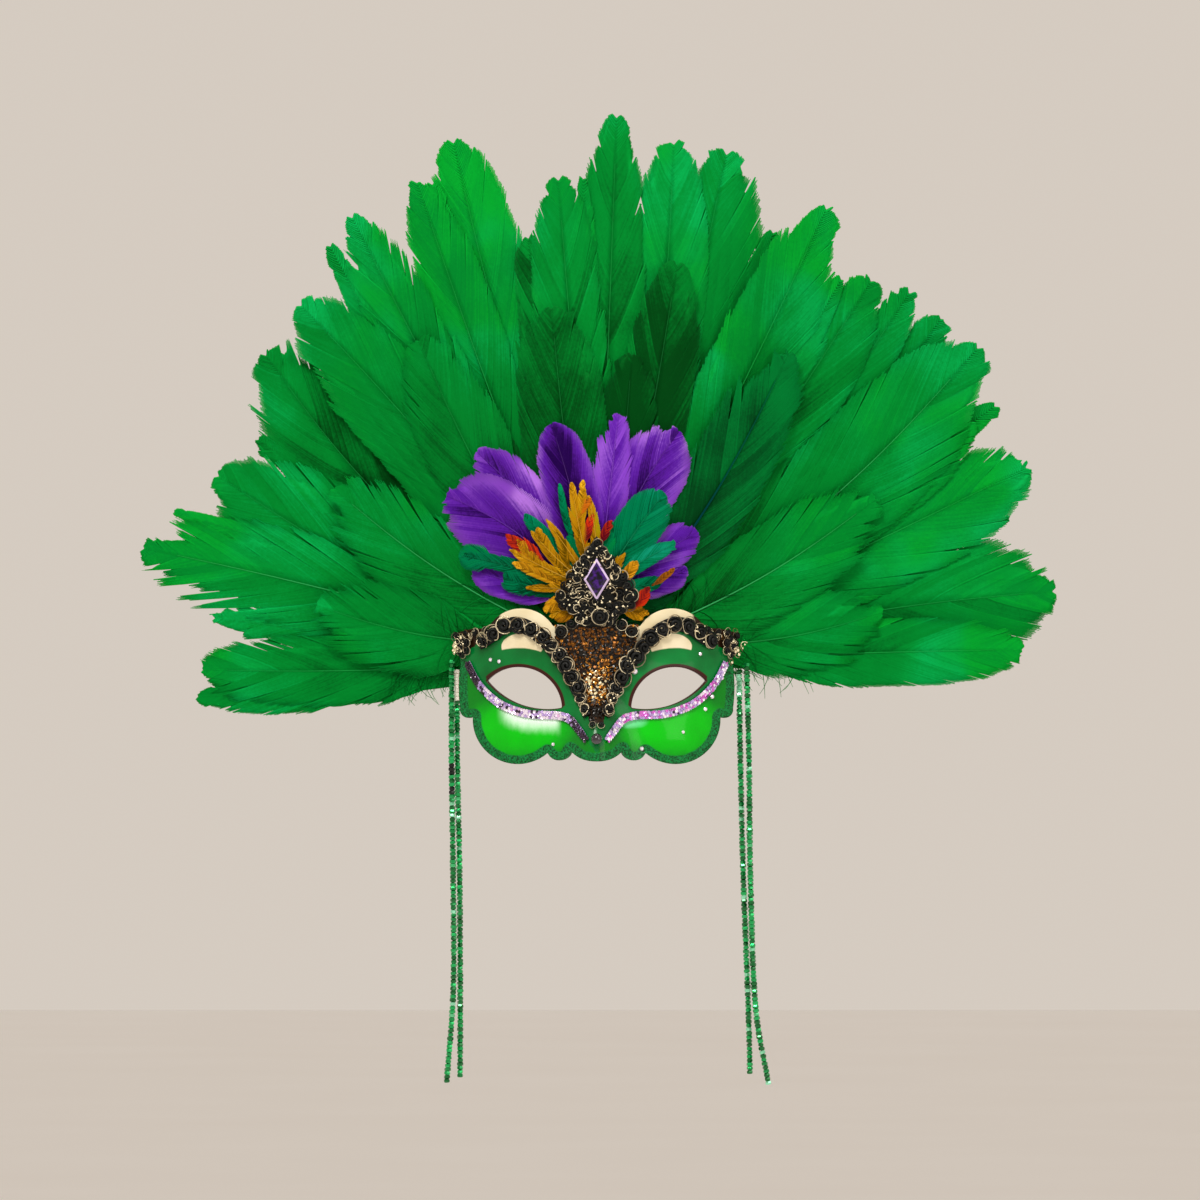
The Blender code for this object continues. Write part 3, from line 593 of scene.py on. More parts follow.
def barb_ends(row, root, start, slope, base):
    """Where a straight barb from each start meets the vane's edge, as a share of the length, and how far out.

    It is the first place in a table of half widths that the barb passes. slope is how far out it goes for each mm
    along the quill. It is up to three times as much near the root, and twice as much at the tip, which rounds it.
    """
    climb = slope * (1.0 + 2.0 * np.exp(-start / 0.1) + smoothstep(0.8, 1.0, start))
    climb = climb * length_of(row, root)
    table = np.linspace(0.0, 1.0, 600)
    passed = climb[:, None] * (table - start[:, None]) >= vane_half(row, table, base)
    passed[:, -1] = True
    end = table[passed.argmax(axis=1)]
    return end, climb * (end - start)


def barb_paths(row, root, count, steps, start, slope, base, fray):
    """Shares of the length, and distances from the quill in mm, along one side's barbs.

    Barbs fall into locks of 5 to 23. Those of a lock lean to its middle, so that splits open at the edge, and
    end before the outline by a random part, the same for the whole lock and a little more for each barb.
    """
    lock = np.searchsorted(np.cumsum(random.integers(5, 24, count)), np.arange(count), side="right")
    locks = lock.max() + 1
    t = np.linspace(0.0, 1.0, steps + 1)
    foot = start + (0.985 - start) * (np.arange(count) + 0.5) / count
    centre = (np.bincount(lock, foot) / np.bincount(lock))[lock]
    pull = (centre - foot) * (0.02 + 0.5 * fray * spread(locks) ** 4)[lock]
    pull = pull + (random.normal(0, 0.002, locks) * fray)[lock]
    ragged = (0.04 + 0.1 * smoothstep(0.3, 0.8, centre)) * fray
    ragged = ragged + 0.06 * smoothstep(0.62, 0.9, centre) * min(fray, 1.0)
    reach = np.clip(1.0 - ragged * (spread(locks) ** 2)[lock], 0.4, 1.0) * (1.0 - spread(count, 0.0, 0.04) * fray)
    out = reach[:, None] * t
    end, aside = barb_ends(row, root, foot, slope, base)
    share = foot[:, None] + (end - foot)[:, None] * out**BARB_CURVE + pull[:, None] * out**3
    return np.clip(share, 0.0, 0.998), aside[:, None] * out - 0.5 * (1.0 - t) ** 4, t, lock, locks


def barb_ribbons(flat, depth, half, ridge=0.1):
    """Three-sided ribbons along flat paths: an edge, the other edge, and a ridge to the front."""
    aside = right_of(unit_length(np.gradient(flat, axis=-2))) * half[..., None]
    thick = np.full_like(half, BARB_THICK)
    x, z = np.moveaxis(np.stack([flat + aside, flat - aside, flat], axis=-2), -1, 0)
    y = depth[..., None] + np.stack([thick, thick, -thick - ridge * half], axis=-1)
    return np.stack([x, y, z], axis=-1)


def add_web(piece, row, root, layer, tint, slope, fold, lean, base, fray, **more):
    """The closed middle of the vane, a thin sheet just behind the barbs. The more frayed, the less it covers.

    Its rows run as the barbs do, out and up, and every other row stands proud at the back.
    """
    rows = int(np.clip(length_of(row, root) / WEB_PITCH, 12, 50))
    start = np.linspace(0.02, 0.96, rows)
    way = np.linspace(-1.0, 1.0, WEB_COLUMNS)
    end, aside = barb_ends(row, root, start, slope, base)
    out = np.abs(way) * (max(0.9 - 0.12 * fray, 0.5) + random.normal(0, 0.02, (rows, 1)))
    share = start[:, None] + (end - start)[:, None] * out**BARB_CURVE
    flat, depth, v = vane_points(row, root, share, aside[:, None] * out, np.sign(way), base, layer, lean, fold)
    front = np.stack([flat[..., 0], depth + 0.2, flat[..., 1]], axis=-1)
    proud = 0.1 + 0.14 * (np.arange(rows) % 2)
    back = front[:, ::-1] + np.array([0.0, 1.0, 0.0]) * proud[:, None, None]
    rings = np.concatenate([front, back], axis=1)
    share, v = (np.concatenate([value, value[:, ::-1]], axis=1) for value in (share, v))
    shade = random.normal(0, 0.3, (rows, 1))
    piece.patch(rings, blade_faces(rings.shape[:-1]), share=share, across=v, tint=tint, lock=shade, **more)


def add_vane(
    piece, row, root, layer, barbs, tint, steps=5, start=0.06, slope=0.36, fray=1.0, fold=1.0, lean=0.0, base=8.0,
    streak=0.16, ridge=0.1, **more
):
    """Both vanes of a feather. Each lock stands a little before or behind the sheet, and the edges fold back."""
    add_web(piece, row, root, layer, tint, slope, fold, lean, base, fray, **more)
    for side in (-1.0, 1.0):
        share, aside, t, lock, locks = barb_paths(row, root, barbs, steps, start, slope, base, fray)
        billow = random.normal(0, 0.3, locks)[lock, None] * t**2 * fold
        flat, depth, v = vane_points(row, root, share, aside, side, base, layer, lean, fold, billow)
        step = np.diff(flat, axis=0, append=2 * flat[-1:] - flat[-2:-1])
        turn = unit_length(np.gradient(flat, axis=1))
        gap = np.abs(step[..., 0] * turn[..., 1] - step[..., 1] * turn[..., 0])
        gap = np.minimum(gap, np.median(gap, axis=0) * 1.8)
        width = 0.8 * gap * (1.0 - 0.5 * t**8)
        ribbons = barb_ribbons(flat, depth, np.maximum(width, BARB_LEAST), ridge)
        shade = (random.normal(0, 0.3, locks)[lock] + random.normal(0, streak, barbs))[:, None, None]
        piece.tubes(ribbons, share=share[..., None], across=v[..., None], tint=tint, lock=shade, **more)


def add_quill(piece, row, root, layer, tint, thick=0.6, lean=0.0, pale=1.0):
    """A tapered tube down the middle of the feather, five-sided."""
    share = np.linspace(0.0, QUILL_END, QUILL_RINGS)
    middle, _, across = quill_line(row, root, share)
    radius = thick * (1.0 - 0.8 * share)
    turn = np.linspace(0.0, TURN, 5, endpoint=False) + 0.3
    flat = middle[:, None] + across[:, None] * (np.cos(turn) * radius[:, None])[..., None]
    depth = fan_depth(*middle.T) + layer - lean * length_of(row, root) * share
    y = depth[:, None] + np.sin(turn) * radius[:, None]
    piece.tubes(np.stack([flat[..., 0], y, flat[..., 1]], axis=-1), share=share[:, None], shaft=pale, tint=tint)


def add_down(piece, row, root, layer, count, reach):
    """Loose wisps near the root: each leaves the quill aslant and curls at random, by about 40 degrees."""
    t = np.linspace(0.0, 1.0, 6)
    middle, heading, across = quill_line(row, root, spread(count, DOWN_FROM, DOWN_TO))
    side = np.where(spread(count) < 0.5, -1.0, 1.0)
    angle = spread(count, 0.45, 1.35) * side
    curl = random.normal(0, 0.7, count)
    length = spread(count, 0.45, 1.0) * reach
    bearing = angle[:, None] + curl[:, None] * t
    way = heading[:, None] * np.cos(bearing)[..., None] + across[:, None] * np.sin(bearing)[..., None]
    stride = way * (length / (len(t) - 1))[:, None, None]
    flat = middle[:, None] + np.cumsum(stride, axis=1) - stride[:, :1]
    depth = fan_depth(flat[..., 0], flat[..., 1]) + layer + random.normal(0, 1.2, count)[:, None] * t
    half = 0.34 * (1.0 - 0.7 * t) * np.ones((count, 1))
    wisps = barb_ribbons(flat, depth, half)
    lock = np.broadcast_to(random.normal(0, 0.5, count)[:, None, None], wisps.shape[:-1])
    clear = ((np.abs(flat[..., 0]) > EYES_HALF) | (flat[..., 1] > EYES_TOP)).all(axis=1)
    piece.tubes(wisps[clear], share=0.15 + 0.5 * t[:, None], lock=lock[clear])


# %% [markdown]
# ## The fan
# Twenty-one long feathers make the outline of the fan, and nine shorter ones fill its middle. On the real
# mask they are glued in a row behind the upper edge, each lapping over the next. Each one here lies on the
# bowl at its own small distance, so that they overlap without touching. Some carry a smaller one beside the
# tip, and all have loose wisps at the root. How frayed each is comes from a table, as no two are worn alike.

# %% The green feathers
BARBS, SIDE_BARBS = 150, 80  # a vane has this many on each side
FRAY, SIDE_FRAY = 0.85, 1.4
START, WIDE_START = 0.06, 0.02  # where on the quill the first barb stands
BASE, WIDE_BASE, MIDDLE_HALF = 8.0, 15.0, 60.0  # half width of the downy base, and where the wide ones end
DOWN_COUNT, DOWN_REACH = 36, 26.0
DARK_FEATHERS = ("inner_right_3",)
# The strongly negative ones, most in the fan's middle, are painted shade where the feathers overlap deepest; the rest
# is each feather's own tone.
TONES_AND_PAINTED_SHADE = {  # how much lighter than its dye each one is
    "inner_left_1": 0.2, "inner_left_3": -0.2, "inner_left_4": -1.0, "inner_right_1": -1.2, "inner_right_2": -1.1,
    "inner_right_3": -0.2, "inner_right_4": 0.2, "inner_right_5": 0.3,
    "plume_centre_1": -0.6, "plume_centre_2": -0.6, "plume_centre_3": -0.5, "plume_centre_4": -0.3,
    "plume_left_1": 0.1, "plume_left_2": 0.2, "plume_left_3": -0.4, "plume_left_4": -0.2, "plume_left_5": 0.3,
    "plume_left_6": 0.4, "plume_right_6": 0.3, "plume_right_7": 0.4, "plume_right_8": 0.1, "plume_right_9": 0.4,
}
WIDE_BASES = ("inner_left_2", "inner_left_3", "inner_right_3", "inner_right_4")
PALE_QUILLS = ("plume_left_2", "plume_right_5", "inner_left_2", "inner_right_4")
FRAYS = {
    "plume_left_1": 2.0, "plume_left_2": 2.2, "plume_left_6": 1.8, "plume_centre_1": 1.6, "plume_centre_2": 1.3,
    "inner_left_1": 1.9, "inner_left_2": 1.9, "inner_right_4": 1.9, "inner_right_5": 1.9, "inner_left_3": 1.4,
    "inner_right_3": 2.0,
}
DOWNY_FEATHERS = {
    "plume_left_1": 150, "plume_left_2": 70, "plume_right_9": 150, "plume_right_8": 70, "inner_left_1": 60,
}
SIDE_FEATHERS = {  # smaller ones glued to a long one: tip x, tip z, width, bow
    "plume_left_1": [(-240.0, -7.0, 24.0, -3.0)],
    "plume_left_2": [(-255.0, 104.0, 12.0, 4.0), (-230.0, 40.0, 22.0, 0.0)],
    "plume_left_4": [(-204.0, 148.0, 26.0, -3.0)],
    "plume_left_6": [(-160.0, 264.0, 22.0, -8.0)],
    "plume_left_7": [(-99.0, 301.0, 20.0, 0.0)],
    "plume_centre_1": [(-8.0, 304.0, 16.0, 0.0), (-41.0, 268.0, 30.0, -2.0)],
    "plume_centre_4": [(106.0, 272.0, 26.0, 6.0)],
    "plume_right_1": [(147.0, 244.0, 24.0, 4.0)],
    "plume_right_7": [(240.0, 168.0, 30.0, 3.0)],
    "plume_right_8": [(249.0, 100.0, 15.0, 2.0)],
}
FAN_ROWS = (
    (OUTER_FEATHERS, FAN_FRONT + INNER_LAYERS * FAN_PITCH, OUTER_LAYERS),
    (INNER_FEATHERS, FAN_FRONT, INNER_LAYERS),
)
for rows, front, layers in FAN_ROWS:
    for index, row in enumerate(rows):
        root = root_of(row[1:3], *FAN_ROOTS)
        layer = front + FAN_PITCH * (index % layers)
        feather = Piece()
        tint = TONES_AND_PAINTED_SHADE.get(row[0], 0.0) + random.normal(0, 0.22)
        wide = row[0] in WIDE_BASES or abs(row[1]) < MIDDLE_HALF
        start, base = (WIDE_START, WIDE_BASE) if wide else (START, BASE)
        fray = FRAYS.get(row[0], FRAY)
        add_vane(feather, row, root, layer, BARBS, tint, start=start, fray=fray, base=base)
        add_quill(feather, row, root, layer - 0.15, tint, pale=0.7 if row[0] in PALE_QUILLS else 0.2)
        add_down(feather, row, root, layer, DOWNY_FEATHERS.get(row[0], DOWN_COUNT), DOWN_REACH)
        for small in SIDE_FEATHERS.get(row[0], []):
            beside = ("", *small)
            foot, behind = root_of(beside[1:3], *FAN_ROOTS), layer + 1.0
            shade = tint + random.normal(0, 0.2)
            add_vane(feather, beside, foot, behind, SIDE_BARBS, shade, start=0.4, fray=SIDE_FRAY)
            add_quill(feather, beside, foot, layer + 0.85, tint, 0.45, pale=0.1)
        if row[0] in DARK_FEATHERS:
            add_quill(feather, row, root, layer - 0.4, tint, 1.1, pale=1.6)
        dye = dark_green_dye if row[0] in DARK_FEATHERS else green_dye
        feather.make(row[0] + "_barbs", [row[0]], dye)
print("triangles in the green feathers:", sum(made.values()))

# %% [markdown]
# ## Violet feathers and the two tufts
# Eight violet feathers spread behind the crest, with small teal and gold ones before them. They are the same
# kind of feather in other sizes, so the same functions make them. The violet ones are pale at the edge and dark
# within, the dark partly painted shade where the vane folds. The small ones have fewer barbs, and are tied to
# one round head. Gold ones are thin and forked, which is a vane of few barbs with wide splits. Loose bits of
# both fill the gaps, and some are dyed red.

# %% The violet feathers
VIOLET_BARBS, WISPY = 120, "purple_feather_5"
VIOLET_TINTS = (-0.1, -0.1, -0.2, -1.4, 0.4, -0.6, -0.3, -0.1)
for index, row in enumerate(PURPLE_FEATHERS):
    root = root_of(row[1:3], *TUFT_ROOTS)
    layer = PURPLE_FRONT + PURPLE_PITCH * (index % PURPLE_LAYERS)
    feather = Piece()
    fray, tint = 2.2 if row[0] == WISPY else 0.8, VIOLET_TINTS[index]
    form = dict(steps=6, start=0.03, fray=fray, fold=0.45, base=3.5, streak=0.22, ridge=0.03)
    add_vane(feather, row, root, layer, VIOLET_BARBS, tint, **form)
    add_quill(feather, row, root, layer - 0.1, tint, 0.5, pale=0.4)
    add_down(feather, row, root, layer, 14, 12.0)
    feather.make(row[0] + "_barbs", [row[0]], violet_dye)

# %% The teal and gold tufts
TUFT_HEAD, TUFT_HEAD_RADIUS, TUFT_HEAD_THICKNESS = np.array([0.0, 54.5]), 9.0, 1.2
TEAL_TIPS = (  # tip x, tip z, width
    (-80.0, 77.0, 9.0),
    (-48.0, 57.5, 10.0),
    (-43.0, 101.0, 9.0),
    (-17.0, 88.0, 8.0),
    (8.0, 91.0, 9.0),
    (40.0, 114.0, 26.0),
    (47.0, 84.0, 10.0),
    (39.0, 62.0, 9.0),
)
GOLD_TIPS = (
    (-42.0, 57.0, 5.0),
    (-52.0, 80.0, 6.0),
    (-39.0, 91.0, 5.0),
    (-30.0, 98.0, 5.0),
    (-15.0, 120.0, 8.0),
    (-5.0, 112.0, 6.0),
    (17.0, 78.0, 6.0),
    (26.5, 38.5, 7.0),
    (-28.0, 40.0, 7.0),
)
TEAL_BITS = (  # root x, root z, tip x, tip z, width, how red
    (-12.0, 80.0, -22.0, 119.0, 4.0, 0.0),
    (-8.0, 82.0, -10.0, 113.0, 3.5, 0.0),
    (5.0, 74.0, 9.0, 96.0, 4.0, 0.0),
    (9.0, 74.0, 18.0, 92.0, 4.0, 0.0),
    (-60.0, 72.0, -82.0, 76.0, 15.0, 0.0),
    (-34.0, 60.0, -55.0, 66.0, 14.0, 0.0),
)
GOLD_BITS = (
    (-11.0, 84.0, -8.0, 121.0, 6.0, 0.0),
    (-12.0, 96.0, -3.0, 110.0, 6.0, 0.55),
    (-18.0, 62.0, -47.0, 86.0, 7.0, 0.0),
    (-16.0, 62.0, -35.0, 93.0, 7.0, 0.0),
    (-18.0, 58.0, -50.0, 72.0, 6.0, 0.1),
    (-16.0, 66.0, -24.0, 92.0, 6.0, 0.0),
    (-30.0, 72.0, -54.0, 89.0, 9.0, 1.0),
    (-7.0, 82.0, -2.0, 101.0, 5.0, 1.0),
    (2.0, 82.0, 9.0, 97.0, 5.0, 1.0),
    (14.0, 60.0, 24.0, 73.0, 7.0, 0.1),
    (32.0, 58.0, 46.0, 69.0, 4.0, 0.5),
    (20.0, 44.0, 31.0, 58.0, 7.0, 1.0),
    (15.0, 48.0, 27.0, 46.0, 7.0, 0.15),
    (-15.0, 50.0, -28.0, 49.0, 7.0, 0.1),
    (-13.0, 50.0, -31.0, 43.0, 8.0, 0.1),
    (-12.0, 46.0, -25.0, 39.0, 7.0, 0.2),
    (14.0, 50.0, 31.0, 42.0, 8.0, 0.1),
)


def add_tuft(name, tips, bits, finish, layer, lean, barbs, fray):
    """Small feathers that start on a round flat head and lean forward evenly with their length, and loose bits."""
    tuft = Piece()
    profile = [(TUFT_HEAD_RADIUS * size, TUFT_HEAD_THICKNESS * at) for size, at in ((0.9, 0), (1, 0.5), (0.9, 1))]
    head = turned(profile, 24)[..., [0, 2, 1]] * (1.0, -1.0, 1.0)
    tuft.tubes(head + (TUFT_HEAD[0], layer + TUFT_HEAD_THICKNESS / 2, TUFT_HEAD[1]))
    for x, z, width in tips:
        reach = np.array([x, z]) - TUFT_HEAD
        root = TUFT_HEAD + reach * TUFT_HEAD_RADIUS / 2 / np.linalg.norm(reach)
        row = ("", x, z, width, random.normal(0, 0.8))
        tint = random.normal(0, 0.3)
        form = dict(start=0.1, slope=0.42, fold=0.3, streak=0.4)
        add_vane(tuft, row, root, layer, barbs, tint, fray=fray, lean=lean, base=0.6, ridge=0.04, **form)
        add_quill(tuft, row, root, layer - 0.2, tint, 0.4, lean, 0.5)
    for root_x, root_z, x, z, width, red in bits:
        root = np.array([root_x, root_z])
        start = layer + 0.3 - lean * np.linalg.norm(root - TUFT_HEAD)
        row = ("", x, z, width, random.normal(0, 1.5))
        tint = random.normal(0, 0.3)
        form = dict(steps=4, start=0.05, slope=0.5, fold=0.2, streak=0.45, red=red)
        add_vane(tuft, row, root, start, barbs // 2 + 6, tint, fray=fray, lean=lean, base=0.6, ridge=0.04, **form)
    tuft.make(name + "_barbs", [name], finish)


add_tuft("teal_tuft", TEAL_TIPS, TEAL_BITS, teal_dye, layer=-1.3, lean=0.05, barbs=60, fray=0.9)
add_tuft("gold_tuft", GOLD_TIPS, GOLD_BITS, gold_dye, layer=-2.9, lean=0.065, barbs=40, fray=2.2)
print("triangles so far:", sum(made.values()))

# %% [markdown]
# ## The moulded mask
# The wall is pressed from one thin sheet, so it is modelled as one: rays run from the eye hole out to the
# edge, half of the mask is filled between them, mirrored, and given its 2 mm. Four numbers ride on each point:
# its distance from the mask's edge and from the eye hole, and how far over the braid's line and the sequins'
# line it is. They say where each paint ends, as a painter masks off the zones.

# %% Outlines of the mask
MASK_EDGE = (  # x, z, bow: the left half, from the top middle round to the bottom middle
    (0.0, 36.0, 0.0),
    (-25.5, 34.5, 11.0),  # brow lobe
    (-63.0, 33.0, 1.5),  # temple
    (-83.0, 30.0, -1.0),
    (-79.5, 10.5, 0.8),
    (-79.5, -13.5, 3.0),  # small side lobe
    (-72.0, -19.0, 16.0),  # cheek lobe
    (-28.5, -40.0, 5.0),  # small inner lobe
    (-13.8, -39.0, 1.6),  # half of the nose lobe
    (0.0, -45.0, 0.0),
)
EYE_CENTRE = np.array([-42.0, -2.5])
EYE_HOLE = (
    (-20.0, -13.5, 15.5),  # inner corner, then the upper lid
    (-64.0, 2.5, 6.5),  # outer corner, then the lower lid
)
BRAID_ROUTE = (
    (-67.6, 25.0),
    (-61.0, 28.6),
    (-54.0, 33.2),
    (-46.0, 35.2),
    (-37.0, 31.8),
    (-28.0, 24.6),
    (-20.4, 15.0),
    (-14.2, 5.0),
    (-8.6, -7.0),
    (-4.2, -19.5),
)
TRIM_ROUTE = (
    (-74.6, 13.0),
    (-68.0, 0.6),
    (-58.0, -9.6),
    (-48.0, -15.2),
    (-38.0, -17.8),
    (-23.0, -18.2),
    (-14.2, -21.0),
    (-8.2, -27.8),
    (-4.9, -32.4),
)
edge = bowed(MASK_EDGE, 1.5)
edge = edge[: int(np.linalg.norm(edge - MASK_EDGE[-1][:2], axis=1).argmin()) + 1]
hole = bowed(EYE_HOLE, 0.4)
braid_line, trim_line = smooth_route(BRAID_ROUTE, 90), smooth_route(TRIM_ROUTE, 90)
print("points on half the edge:", len(edge), "and on an eye hole:", len(hole))

# %% The sheet and its wall
RINGS, MIDDLE_POINTS = 40, 55
middle = np.linspace(edge[-1], edge[0], MIDDLE_POINTS)[1:-1]
outer = np.vstack([edge, middle])
spoke, hole_spoke = outer - EYE_CENTRE, hole - EYE_CENTRE
bearing, hole_bearing = (np.arctan2(way[:, 1], way[:, 0]) for way in (spoke, hole_spoke))
order = np.argsort(hole_bearing)
reach = np.interp(bearing, hole_bearing[order], np.linalg.norm(hole_spoke, axis=1)[order], period=TURN)
inner = EYE_CENTRE + reach[:, None] * np.stack([np.cos(bearing), np.sin(bearing)], axis=1)
grid = inner + (outer - inner) * np.linspace(0.0, 1.0, RINGS)[:, None, None]
x, z = np.moveaxis(grid, -1, 0)
from_braid, braid_side = distance_to(x, z, braid_line)
from_trim, trim_side = distance_to(x, z, trim_line)
shell = Piece()
shell.patch(
    np.stack([x, face_depth(x, z), z], axis=-1),
    tube_faces(x.shape)[:1],
    from_edge=distance_to(x, z, edge)[0],
    from_eye=distance_to(x, z, np.vstack([hole, hole[:1]]))[0],
    over_braid=from_braid * braid_side,
    over_trim=from_trim * trim_side,
)

# %% [markdown]
# ## Paint and gloss on the mask
# Bright green covers the cheeks below the sequins, with a darker glitter border along the scallops, and deep
# green lies above them, round the eyes. Pearl shows in an arc over each eye and on the brow over the braid,
# where the middle and the temples have a dark ground. Painted light lies on the cheeks: each is lighter in
# its middle and darker to its sides, a pale painted highlight runs along the left cheek, and a smaller one
# lies beside the nose on the right. All of it lies under one clear coat. A printed film could hold this
# pattern, but the distances do it at any size and stay crisp. Numbers in the expressions are mm on the mask.

# %% The mask's finish
mask_paint = Finish("mask_paint", 0.3, Coat_Weight=0.22, Coat_Roughness=0.08, Specular_IOR_Level=0.12)
from_edge, from_eye = mask_paint.value("from_edge"), mask_paint.value("from_eye")
over_braid, over_trim = mask_paint.value("over_braid"), mask_paint.value("over_trim")
place = mask_paint.place()
cloud, grain = mask_paint.noise(place, 22.0), mask_paint.noise(place, 1.2, 3.0)
flake = (mask_paint.cells(place, 0.7) * 1.6 - 0.3).unit()
wobble = (mask_paint.noise(place, 6.0) - 0.5) * 1.2
x_at, z_at = (mask_paint.add("SeparateXYZ", {}, {"Vector": place}, axis) for axis in "XZ")
side = x_at.math("ABSOLUTE", x_at)


def out_of_oval(across, x, z, width, height):
    """((across - x) / width)^2 + ((height on the mask - z) / height)^2, which is 1 on the oval's edge."""
    return (across - x) * (across - x) * width**-2.0 + (z_at - z) * (z_at - z) * height**-2.0


def oval(x, z, width, height):
    """1 in the middle of an oval of the mask's front, falling softly to 0 at its edge."""
    return (out_of_oval(x_at, x, z, width, height) + wobble * 0.25).step(1.0, 0.1)


# The cheeks: two bright ovals, painted light on their middles, soft clouds, a painted highlight beside the nose, and
# a painted highlight along the left cheek.
lit_middle_of_cheeks = from_eye.math("MAXIMUM", oval(-46, -25, 38, 21), oval(46, -25, 38, 21))
cheek = mask_paint.mix(lit_middle_of_cheeks, paint(0, 122, 24), paint(0, 196, 8))
cheek = mask_paint.mix((cloud * 1.6 - 0.5).unit() * 0.5, cheek, paint(0, 132, 6))
# A painted highlight on the right cheek, beside the nose.
cheek = mask_paint.mix(oval(20, -21.5, 12, 5) * 0.75, cheek, paint(112, 226, 156))
# A pale painted highlight along the left cheek, under the sequins, with a streaky lower edge.
streaks = mask_paint.noise(mask_paint.place((1.0, 1.0, 0.5)), 3.0)
left_cheek_highlight = (over_trim + streaks * 3.0).step(-11.0, -1.0) * x_at.step(-60.0, -50.0) * x_at.step(-20.0, -25.0)
cheek = mask_paint.mix(left_cheek_highlight, cheek, paint(226, 255, 234))
# The other paints, each then laid over the last where its zone lies.
pearl = mask_paint.mix(cloud, paint(206, 184, 128), paint(252, 246, 222))
band = mask_paint.mix((cloud * 1.6 - 0.3).unit(), paint(0, 72, 24), paint(4, 134, 58))
glitter = mask_paint.mix(flake, paint(0, 56, 18), paint(8, 132, 62))
border = (from_edge + wobble).step(5.6, 4.6)
colour = mask_paint.mix(border, cheek, glitter)
colour = mask_paint.mix(over_trim.step(-0.4, 0.4), colour, band)
over_eye = (out_of_oval(side, 44.0, 22.5, 12.5, 8.0) + wobble * 0.06).step(1.0, 0.92)
arc = over_eye * (from_eye + wobble * 0.5).step(11.2, 12.0)
colour = mask_paint.mix(arc, colour, pearl)
brow_lobe = side.step(22.0, 24.0) * side.step(58.0, 56.0)
brow = mask_paint.mix(brow_lobe, paint(38, 22, 8), pearl)
colour = mask_paint.mix(over_braid.step(-0.3, 0.3) * z_at.step(-24.0, -22.0), colour, brow)
# The dark rim of the eye hole is wider along the upper lid.
upper_lid = (z_at - side * 0.364).step(-20.8, -18.5) * 1.5 + 0.5
colour = mask_paint.mix((from_eye - upper_lid).step(0.3, -0.3), colour, paint(56, 20, 14))
mask_paint.relief(grain * 0.4 + border * flake * 0.6, 0.12, 0.6)
mask_paint.done(colour, roughness=0.2 + border * 0.25 + grain * 0.1)

felt = Finish("mask_backing", 0.85)
fuzz = felt.noise(felt.place(), 0.8, 4.0)
felt.relief(fuzz, 0.2)
felt.done(felt.mix(fuzz, paint(176, 170, 158), paint(206, 200, 188)))

# %% Mirror it, and give it its wall
mask = shell.make("mask_shell_painted", ["mask_shell"], mask_paint.material)
mask.data.materials.append(felt.material)
if mask.data.polygons[0].normal.y > 0:
    mask.data.flip_normals()
halves = mask.modifiers.new("halves", "MIRROR")
halves.merge_threshold = 0.1 * MM
wall = mask.modifiers.new("wall", "SOLIDIFY")
wall.thickness, wall.offset, wall.use_even_offset = WALL * MM, 1.0, True
wall.material_offset = 1
print("half of the mask's sheet:", made["mask_shell_painted"], "triangles")

# %% [markdown]
# ## Coiled cord: braid, rosettes and crest
# The black braid is a row of buttons, each a cord wound into a flat coil, with a thin gold cord round it. Two
# gold cords weave across the row, and short curls lie loose on top, with small beads painted pale gold as
# highlights, standing for glints. A lathe could turn a grooved button, but a real spiral of cord catches the
# light as the braid does. One coil and one gold ring are made, and copies of them go along the brow, on the
# temples and over the crest.

# %% A cord along any path
OUTWARD = np.array([0.0, 0.0, 1.0])


def cord(path, normal, radius, sides=6, twist=0.0):
    """Rings round one or many paths: at each point the circle lies square to the path, from the normal round.

    A twist adds two strands, whose lobes turn as they go along.
    """
    heading = unit_length(np.gradient(path, axis=-2))
    first = unit_length(normal - heading * (normal * heading).sum(-1, keepdims=True))
    second = np.cross(heading, first)
    turn = np.linspace(0.0, TURN, sides, endpoint=False)
    phase = twist * np.arange(path.shape[-2])[:, None]
    bulge = radius * (1.0 + (0.22 if twist else 0.0) * np.cos(2 * turn - phase))
    over = first[..., None, :] * (np.cos(turn) * bulge)[..., None]
    aside = second[..., None, :] * (np.sin(turn) * bulge)[..., None]
    return path[..., None, :] + over + aside


def coil(turns, radius, thick, rise):
    """A cord wound flat from the middle out, on a low dome whose height falls with the radius squared."""
    share = np.linspace(0.0, 1.0, int(turns * 14))
    angle, away = TURN * turns * share, radius * (0.12 + 0.88 * share)
    path = np.stack([away * np.cos(angle), away * np.sin(angle), rise * (1.0 - (away / radius) ** 2)], axis=-1)
    return cord(path, OUTWARD, thick * (1.0 - 0.3 * share[:, None]))


STRAND_TURNS = 14


def ring(radius, thick):
    """A closed ring of twisted cord: a circle carried round a circle, with a bulge for each turn of its strands."""
    turn, around = (np.linspace(0, TURN, count, endpoint=False) for count in (2 * STRAND_TURNS, 5))
    turn, around = np.meshgrid(turn, around, indexing="ij")
    bulge = thick * (1.0 + 0.2 * np.cos(around * 2 + STRAND_TURNS * turn))
    away = radius + bulge * np.cos(around)
    return np.stack([away * np.cos(turn), away * np.sin(turn), -bulge * np.sin(around)], axis=-1)


def ring_faces(shape):
    """Quads of closed rings, which join up both ways."""
    number = np.arange(math.prod(shape)).reshape(-1, *shape[-2:])
    above = np.roll(number, -1, 1)
    return [np.stack([number, np.roll(number, -1, 2), np.roll(above, -1, 2), above], axis=-1).reshape(-1, 4)]


